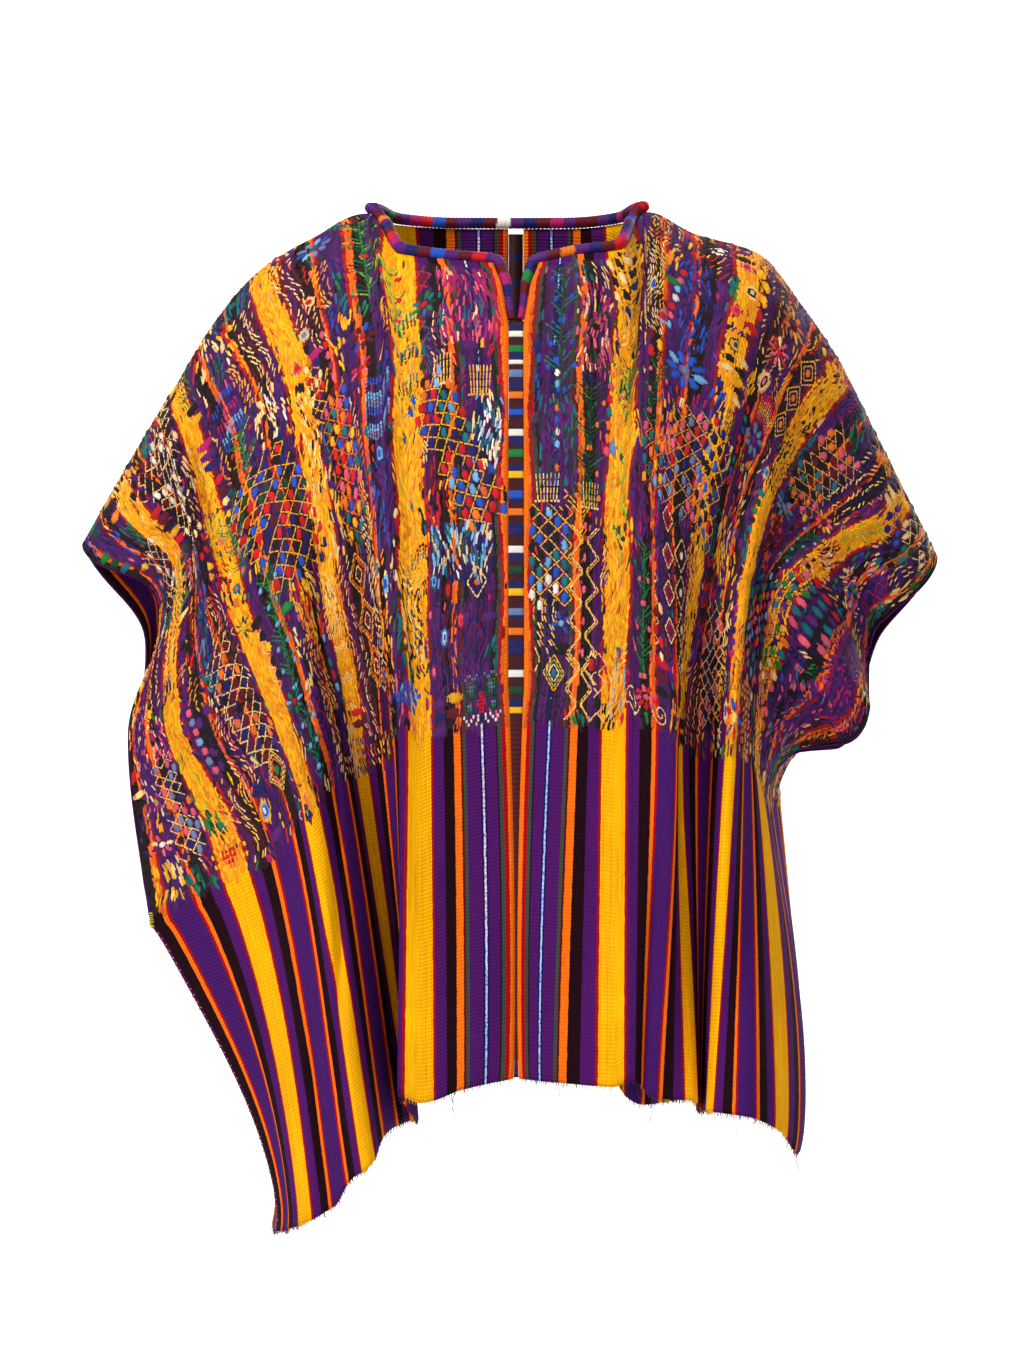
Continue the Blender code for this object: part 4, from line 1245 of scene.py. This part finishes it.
def seamStrip(name, which, start):
    right, left = faces["right" + which], faces["left" + which]
    places = np.arange(start, cut["half"] - 0.0005, seam["step"] * (1))
    edges = [readAlong(places, face.lengths[0], face.sheet[0]) for face in (right, left)]
    middle = 0.5 * (edges[0] + edges[1])
    half = 0.5 * (edges[1][:, 0] - edges[0][:, 0]) - cut["gap"] * 0.5
    run = unit(np.gradient(middle, axis=0))
    outward = np.cross(run, np.array([1.0, 0.0, 0.0]))
    outward *= np.sign(outward[:, 1:2]) * (-1 if which == "Front" else 1)
    rng = np.random.default_rng(61 if which == "Front" else 62)
    lift = np.zeros(len(places))
    colours = np.tile(np.array(dyed("u", 0.4)), (len(places), 1))
    # Close stitches: raised in a wave, with painted shade darkening the colour in the dips
    # between them.
    weave = 0.5 + 0.5 * np.sin(places * 2.0 * math.pi / 0.0017)
    colours[:, :3] *= (0.75 + 0.4 * weave)[:, None]
    purple = np.sin(places * 2.0 * math.pi / 0.0205) > 0.55
    colours[purple] = np.array(dyed("n", 0.7))
    lift += 0.0003 + 0.00012 * weave
    for down, tall, letter in seam["bars"]:
        away = (places - down / 1000) / (tall / 1000)
        inside = np.abs(away) < 1.0
        # Satin bars: raised stitch ridges, with painted shade darkening the colour between
        # them.
        ridges = 0.5 + 0.5 * np.cos(places[inside] * 2.0 * math.pi / 0.0011)
        lift[inside] = (0.45 + 0.55 * np.sqrt(1.0 - away[inside] ** 2)) * seam["rise"]
        lift[inside] += 0.00014 * ridges
        colours[inside] = np.array(dyed(letter))
        colours[inside, :3] *= (0.78 + 0.25 * ridges)[:, None]
    low = places > cut["randaEnd"] + 0.004
    # Below the bars: whip stitches, with painted shade darkening the colour in the dips between
    # them.
    whip = 0.5 + 0.5 * np.sin(places[low] * 2.0 * math.pi / 0.0034)
    colours[low] = np.array(dyed("u"))
    colours[low, :3] *= (0.35 + 0.5 * whip)[:, None]
    lift[low] = 0.0002 + 0.0005 * whip
    count = seam["columns"]
    points, tones, spots = [], [], []
    for column in range(count + 4):
        share = np.clip((column - 2) / (count - 1), 0.0, 1.0) * 2.0 - 1.0
        rounded = (1.0 - abs(share) ** 4) * 0.75 + 0.25
        wobble = rng.normal(0.0, 0.00008, len(places))
        height = cut["wall"] / 2 + (lift * rounded)
        if column in (0, count + 3):
            height = np.full(len(places), -cut["wall"] / 2)
        if column in (1, count + 2):
            height = np.full(len(places), cut["wall"] / 2)
        line = middle + outward * height[:, None]
        line[:, 0] += share * half + wobble * (abs(share) < 0.99)
        points.append(line)
        tones.append(colours)
        spots.append(np.column_stack([np.full(len(places), 0.001 * column), places]))
    columns, rows = len(points), len(places)
    flip = which == "Back"
    quads = gridFaces(columns, rows, 0, not flip).tolist()
    inner = [((columns - 1) * rows + row, (columns - 1) * rows + row + 1, row + 1, row)
             for row in range(rows - 1)]
    quads += [list(face[::-1]) if flip else list(face) for face in inner]
    piece = meshPiece(name, np.concatenate(points), quads, materials["satin"],
                      np.concatenate(spots), np.concatenate(tones))
    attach(piece, "root")
    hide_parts("randa_" + which.lower())
    return piece


seamStrip("randaFront", "Front", cut["slitEnd"])
seamStrip("randaBack", "Back", cut["backNeck"] + 0.004)
print("seams stitched")

# The binding: a roll of wrapped thread round the slit and the neck, in dyed lengths.
binding = {"radius": 0.0042, "thin": 0.0024, "ease": 0.0008, "step": 0.0011, "sides": 16,
           "wrap": 0.0030, "length": 0.010,
           "threads": "upnmuprupbunpmrunpoupngupmrbupnuwpnumpu"}


def neckEdge(side):
    front, back = faces[side + "Front"], faces[side + "Back"]
    slit = np.linspace(cut["slitEnd"] - 0.001, cut["frontNeck"] + 0.004, 9)
    points = list(readAlong(slit, front.lengths[0], front.sheet[0]))
    sign = 1.0 if side == "right" else -1.0
    aways = [(sign, 0.0, 0.0)] * len(slit)
    neck = int(np.argmin(np.abs(front.across - cut["neckHalf"])))
    for column in range(neck + 1):
        points.append(front.sheet[column, 0])
        aways.append(front.sheet[column, 0] - front.sheet[column, 3])
    for column in range(neck - 1, -1, -1):
        points.append(back.sheet[column, 0])
        aways.append(back.sheet[column, 0] - back.sheet[column, 3])
    return np.array(points), unit(np.array(aways, float))


def bindNeck():
    right, left = neckEdge("right"), neckEdge("left")
    points = np.concatenate([right[0], left[0][::-1]])
    aways = np.concatenate([right[1], left[1][::-1]])
    known = np.concatenate([[0.0], np.cumsum(np.linalg.norm(np.diff(points, axis=0), axis=1))])
    step = binding["step"] * 1
    places = np.arange(0.0, known[-1], step)
    points = readAlong(places, known, points)
    aways = readAlong(places, known, aways)
    spread = max(3, int(0.010 / step))
    kernel = np.hanning(2 * spread + 1)
    kernel /= kernel.sum()
    for axis in range(3):
        padded = np.pad(aways[:, axis], spread, mode="edge")
        aways[:, axis] = np.convolve(padded, kernel, mode="valid")
        padded = np.pad(points[:, axis], spread // 2, mode="edge")
        small = np.hanning(2 * (spread // 2) + 1)
        points[:, axis] = np.convolve(padded, small / small.sum(), mode="valid")
    run = unit(np.gradient(points, axis=0))
    aways = unit(aways - (aways * run).sum(axis=1)[:, None] * run)
    up = np.cross(run, aways)
    along = places / places[-1]
    radius = binding["thin"] + (binding["radius"] - binding["thin"]) * smooth(
        np.minimum(along, 1.0 - along) * 12.0)
    centres = points + aways * (radius + cut["gap"] + binding["ease"] * 0.4)[:, None]
    sides = binding["sides"]
    angles = np.arange(sides) * 2.0 * math.pi / sides
    twist = places[:, None] * 2.0 * math.pi / binding["wrap"] + angles[None, :]
    size = radius[:, None] * (1.0 + 0.07 * np.sin(twist * 1.0))
    fine = (centres[:, None, :] + size[..., None]
            * (np.cos(angles)[None, :, None] * aways[:, None, :]
               + np.sin(angles)[None, :, None] * up[:, None, :]))
    slant = places[:, None] + angles[None, :] / (2.0 * math.pi) * 0.004
    pick = (slant / binding["length"]).astype(int) % len(binding["threads"])
    palette = np.array([dyed(letter) for letter in binding["threads"]])
    colours = palette[pick]
    # Painted shade: the colour darkens in the grooves between the wraps and is brightest on
    # each wrap's bulge.
    colours[..., :3] *= (0.78 + 0.28 * (0.5 + 0.5 * np.sin(twist)))[..., None]
    index = np.arange(len(places) * sides).reshape(len(places), sides)
    after = np.roll(index, -1, axis=1)
    quads = np.stack([index[:-1], index[1:], after[1:], after[:-1]], axis=-1).reshape(-1, 4)
    quads = quads.tolist() + [index[0].tolist(), index[-1][::-1].tolist()]
    spots = np.stack([np.repeat(angles[None, :] * 0.001, len(places), axis=0),
                      np.repeat(places[:, None], sides, axis=1)], axis=-1).reshape(-1, 2)
    piece = meshPiece("neckBinding", fine.reshape(-1, 3), quads, materials["satin"], spots,
                      colours.reshape(-1, 4))
    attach(piece, "root")
    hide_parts("neck_binding")
    return piece


bindNeck()
print("neck bound")


# Whip stitches down the side seams, below the armholes, and a tack at the top of each.
def sideStitches(side):
    front, back = faces[side + "Front"], faces[side + "Back"]
    tubes = Tubes()
    rng = np.random.default_rng(71 if side == "right" else 72)
    places = np.arange(cut["armhole"] + 0.001, cut["half"] - 0.004, 0.0052)
    edges = [readAlong(places, face.lengths[-1], face.sheet[-1]) for face in (front, back)]
    inner = [readAlong(places + 0.0016, face.lengths[-3], face.sheet[-3])
             for face in (front, back)]
    for number in range(len(places)):
        middle = 0.5 * (edges[0][number] + edges[1][number])
        toFront = inner[0][number] - edges[0][number]
        toBack = inner[1][number] - edges[1][number]
        toFront /= np.linalg.norm(toFront)
        toBack /= np.linalg.norm(toBack)
        away = -(toFront + toBack)
        away /= max(np.linalg.norm(away), 1e-6)
        split = toFront - toBack
        split /= max(np.linalg.norm(split), 1e-6)
        lean = np.array([0.0, 0.0, rng.uniform(-0.0006, 0.0006)])
        path = []
        for turn in np.linspace(-1.25, 1.25, 7):
            path.append(middle + split * 0.0023 * math.sin(turn)
                        + away * (0.0019 * math.cos(turn)) - away * 0.0005 + lean * turn)
        tubes.add(path, [0.00042] * 7, dyed("o" if number % 9 else "r",
                                            rng.uniform(0.7, 1.0)), 4)
    top = readAlong(np.array([cut["armhole"]]), front.lengths[-1], front.sheet[-1])[0]
    for number in range(7):
        shift = np.array([0.0, rng.uniform(-0.001, 0.001), 0.0016 * (number - 3)])
        path = [top + shift + np.array([0.0, 0.0022 * math.sin(turn),
                                        0.0004 * turn]) + np.array([
                                            -front.side * 0.002 * math.cos(turn), 0.0, 0.0])
                for turn in np.linspace(-2.2, 2.2, 8)]
        tubes.add(path, [0.0006] * 8, dyed("l" if number % 2 else "y", 0.9), 5)
    piece = tubes.build("sideStitches_" + side, materials["satin"])
    return piece


# The raw hem: short warp ends in the stripe's own colour, and a few long loose ones.
def hemThreads(side, which):
    face = faces[side + which]
    tubes = Tubes()
    rng = np.random.default_rng({"rightFront": 81, "leftFront": 82, "rightBack": 83,
                                 "leftBack": 84}[side + which])
    foot = face.sheet[:, -1]
    above = face.sheet[:, -3]
    pitch = 0.00115
    for across in np.arange(0.002, cut["width"] - 0.002, pitch):
        across = across + rng.uniform(-0.0004, 0.0004)
        start = readAlong(np.array([across]), face.across, foot)[0]
        before = readAlong(np.array([across]), face.across, above)[0]
        way = start - before
        way /= np.linalg.norm(way)
        long = rng.random() < 0.022
        size = rng.uniform(0.012, 0.022) if long else rng.uniform(0.0015, 0.0052)
        colour = stripeColour(across)
        bend = rng.normal(0.0, 0.35 if long else 0.22, 3)
        path = []
        count = 7 if long else 3
        for number in range(count):
            part = number / (count - 1)
            curl = bend * size * part ** 1.6
            curl[2] = abs(curl[2]) * 0.3
            if long:
                curl = curl + 0.0022 * part * np.array([math.sin(part * 6 + across * 900),
                                                        0.5 * math.cos(part * 5), 0.0])
            path.append(start - way * 0.0006 + way * size * part + curl)
        width = rng.uniform(0.00022, 0.00036)
        tubes.add(path, [width] * (count - 1) + [width * 0.4], colour, 3, False)
    piece = tubes.build("hemThreads_" + side + "_" + which.lower(), materials["satin"])
    return piece


for side in ("right", "left"):
    trims = [sideStitches(side), hemThreads(side, "Front"), hemThreads(side, "Back")]
print("sides and hem done")

# Stage, light and camera.
stage = {"floor": -1.32, "wall": 4.8, "bend": 0.7, "front": -3.6, "half": 4.5}


def curvedBackdrop():
    profile = [(stage["front"], stage["floor"])]
    for number in range(13):
        angle = number / 12 * math.pi / 2
        profile.append((stage["wall"] - stage["bend"] + stage["bend"] * math.sin(angle),
                        stage["floor"] + stage["bend"] - stage["bend"] * math.cos(angle)))
    profile.append((stage["wall"], 3.0))
    points = [(x, y, z) for y, z in profile for x in (-stage["half"], stage["half"])]
    polygons = [(2 * n, 2 * n + 1, 2 * n + 3, 2 * n + 2) for n in range(len(profile) - 1)]
    make = Maker("pale paper")
    plain = make.put("BsdfPrincipled", {}, {"Base Color": tint(246, 246, 246),
                                            "Roughness": 0.9})
    make.put("OutputMaterial", {}, {"Surface": plain})
    piece = meshPiece("backdrop", points, polygons, make.material)
    return piece


def softLight(name, place, aim, size, power):
    lamp = bpy.data.lights.new(name, "AREA")
    lamp.shape = "RECTANGLE"
    lamp.size, lamp.size_y = size
    lamp.energy = power
    item = bpy.data.objects.new(name, lamp)
    item.location = place
    item.rotation_euler = (Vector(aim) - Vector(place)).to_track_quat("-Z", "Y").to_euler()
    bpy.context.scene.collection.objects.link(item)


curvedBackdrop()
softLight("key light", (-1.9, -1.9, 1.5), (0, 0, -0.4), (1.1, 1.1), 98.0)
softLight("fill light", (1.2, -2.9, 0.2), (0, 0, -0.4), (1.4, 1.4), 16.0)
softLight("top light", (0.3, -0.3, 1.9), (0, 0, -0.4), (1.6, 1.2), 18.0)
softLight("paper light", (0.0, 3.4, 1.9), (0, 4.8, -0.6), (5.0, 0.8), 150.0)
softLight("back light", (1.6, 2.2, 1.2), (0, 0, -0.4), (1.4, 1.4), 40.0)
world = bpy.data.worlds.new("studio")
world.use_nodes = True
world.node_tree.nodes["Background"].inputs["Color"].default_value = (1.0, 1.0, 1.0, 1.0)
world.node_tree.nodes["Background"].inputs["Strength"].default_value = 0.30
bpy.context.scene.world = world
bpy.context.scene.view_settings.view_transform = "Standard"
lens = bpy.data.cameras.new("camera")
lens.sensor_fit = "VERTICAL"
lens.sensor_height = 36.0
lens.lens = 108.3
camera = bpy.data.objects.new("camera", lens)
camera.location = (-0.0029, -3.0, -0.342)
camera.rotation_euler = (math.pi / 2, 0.0, 0.0)
bpy.context.scene.collection.objects.link(camera)
bpy.context.scene.camera = camera
print("stage set")
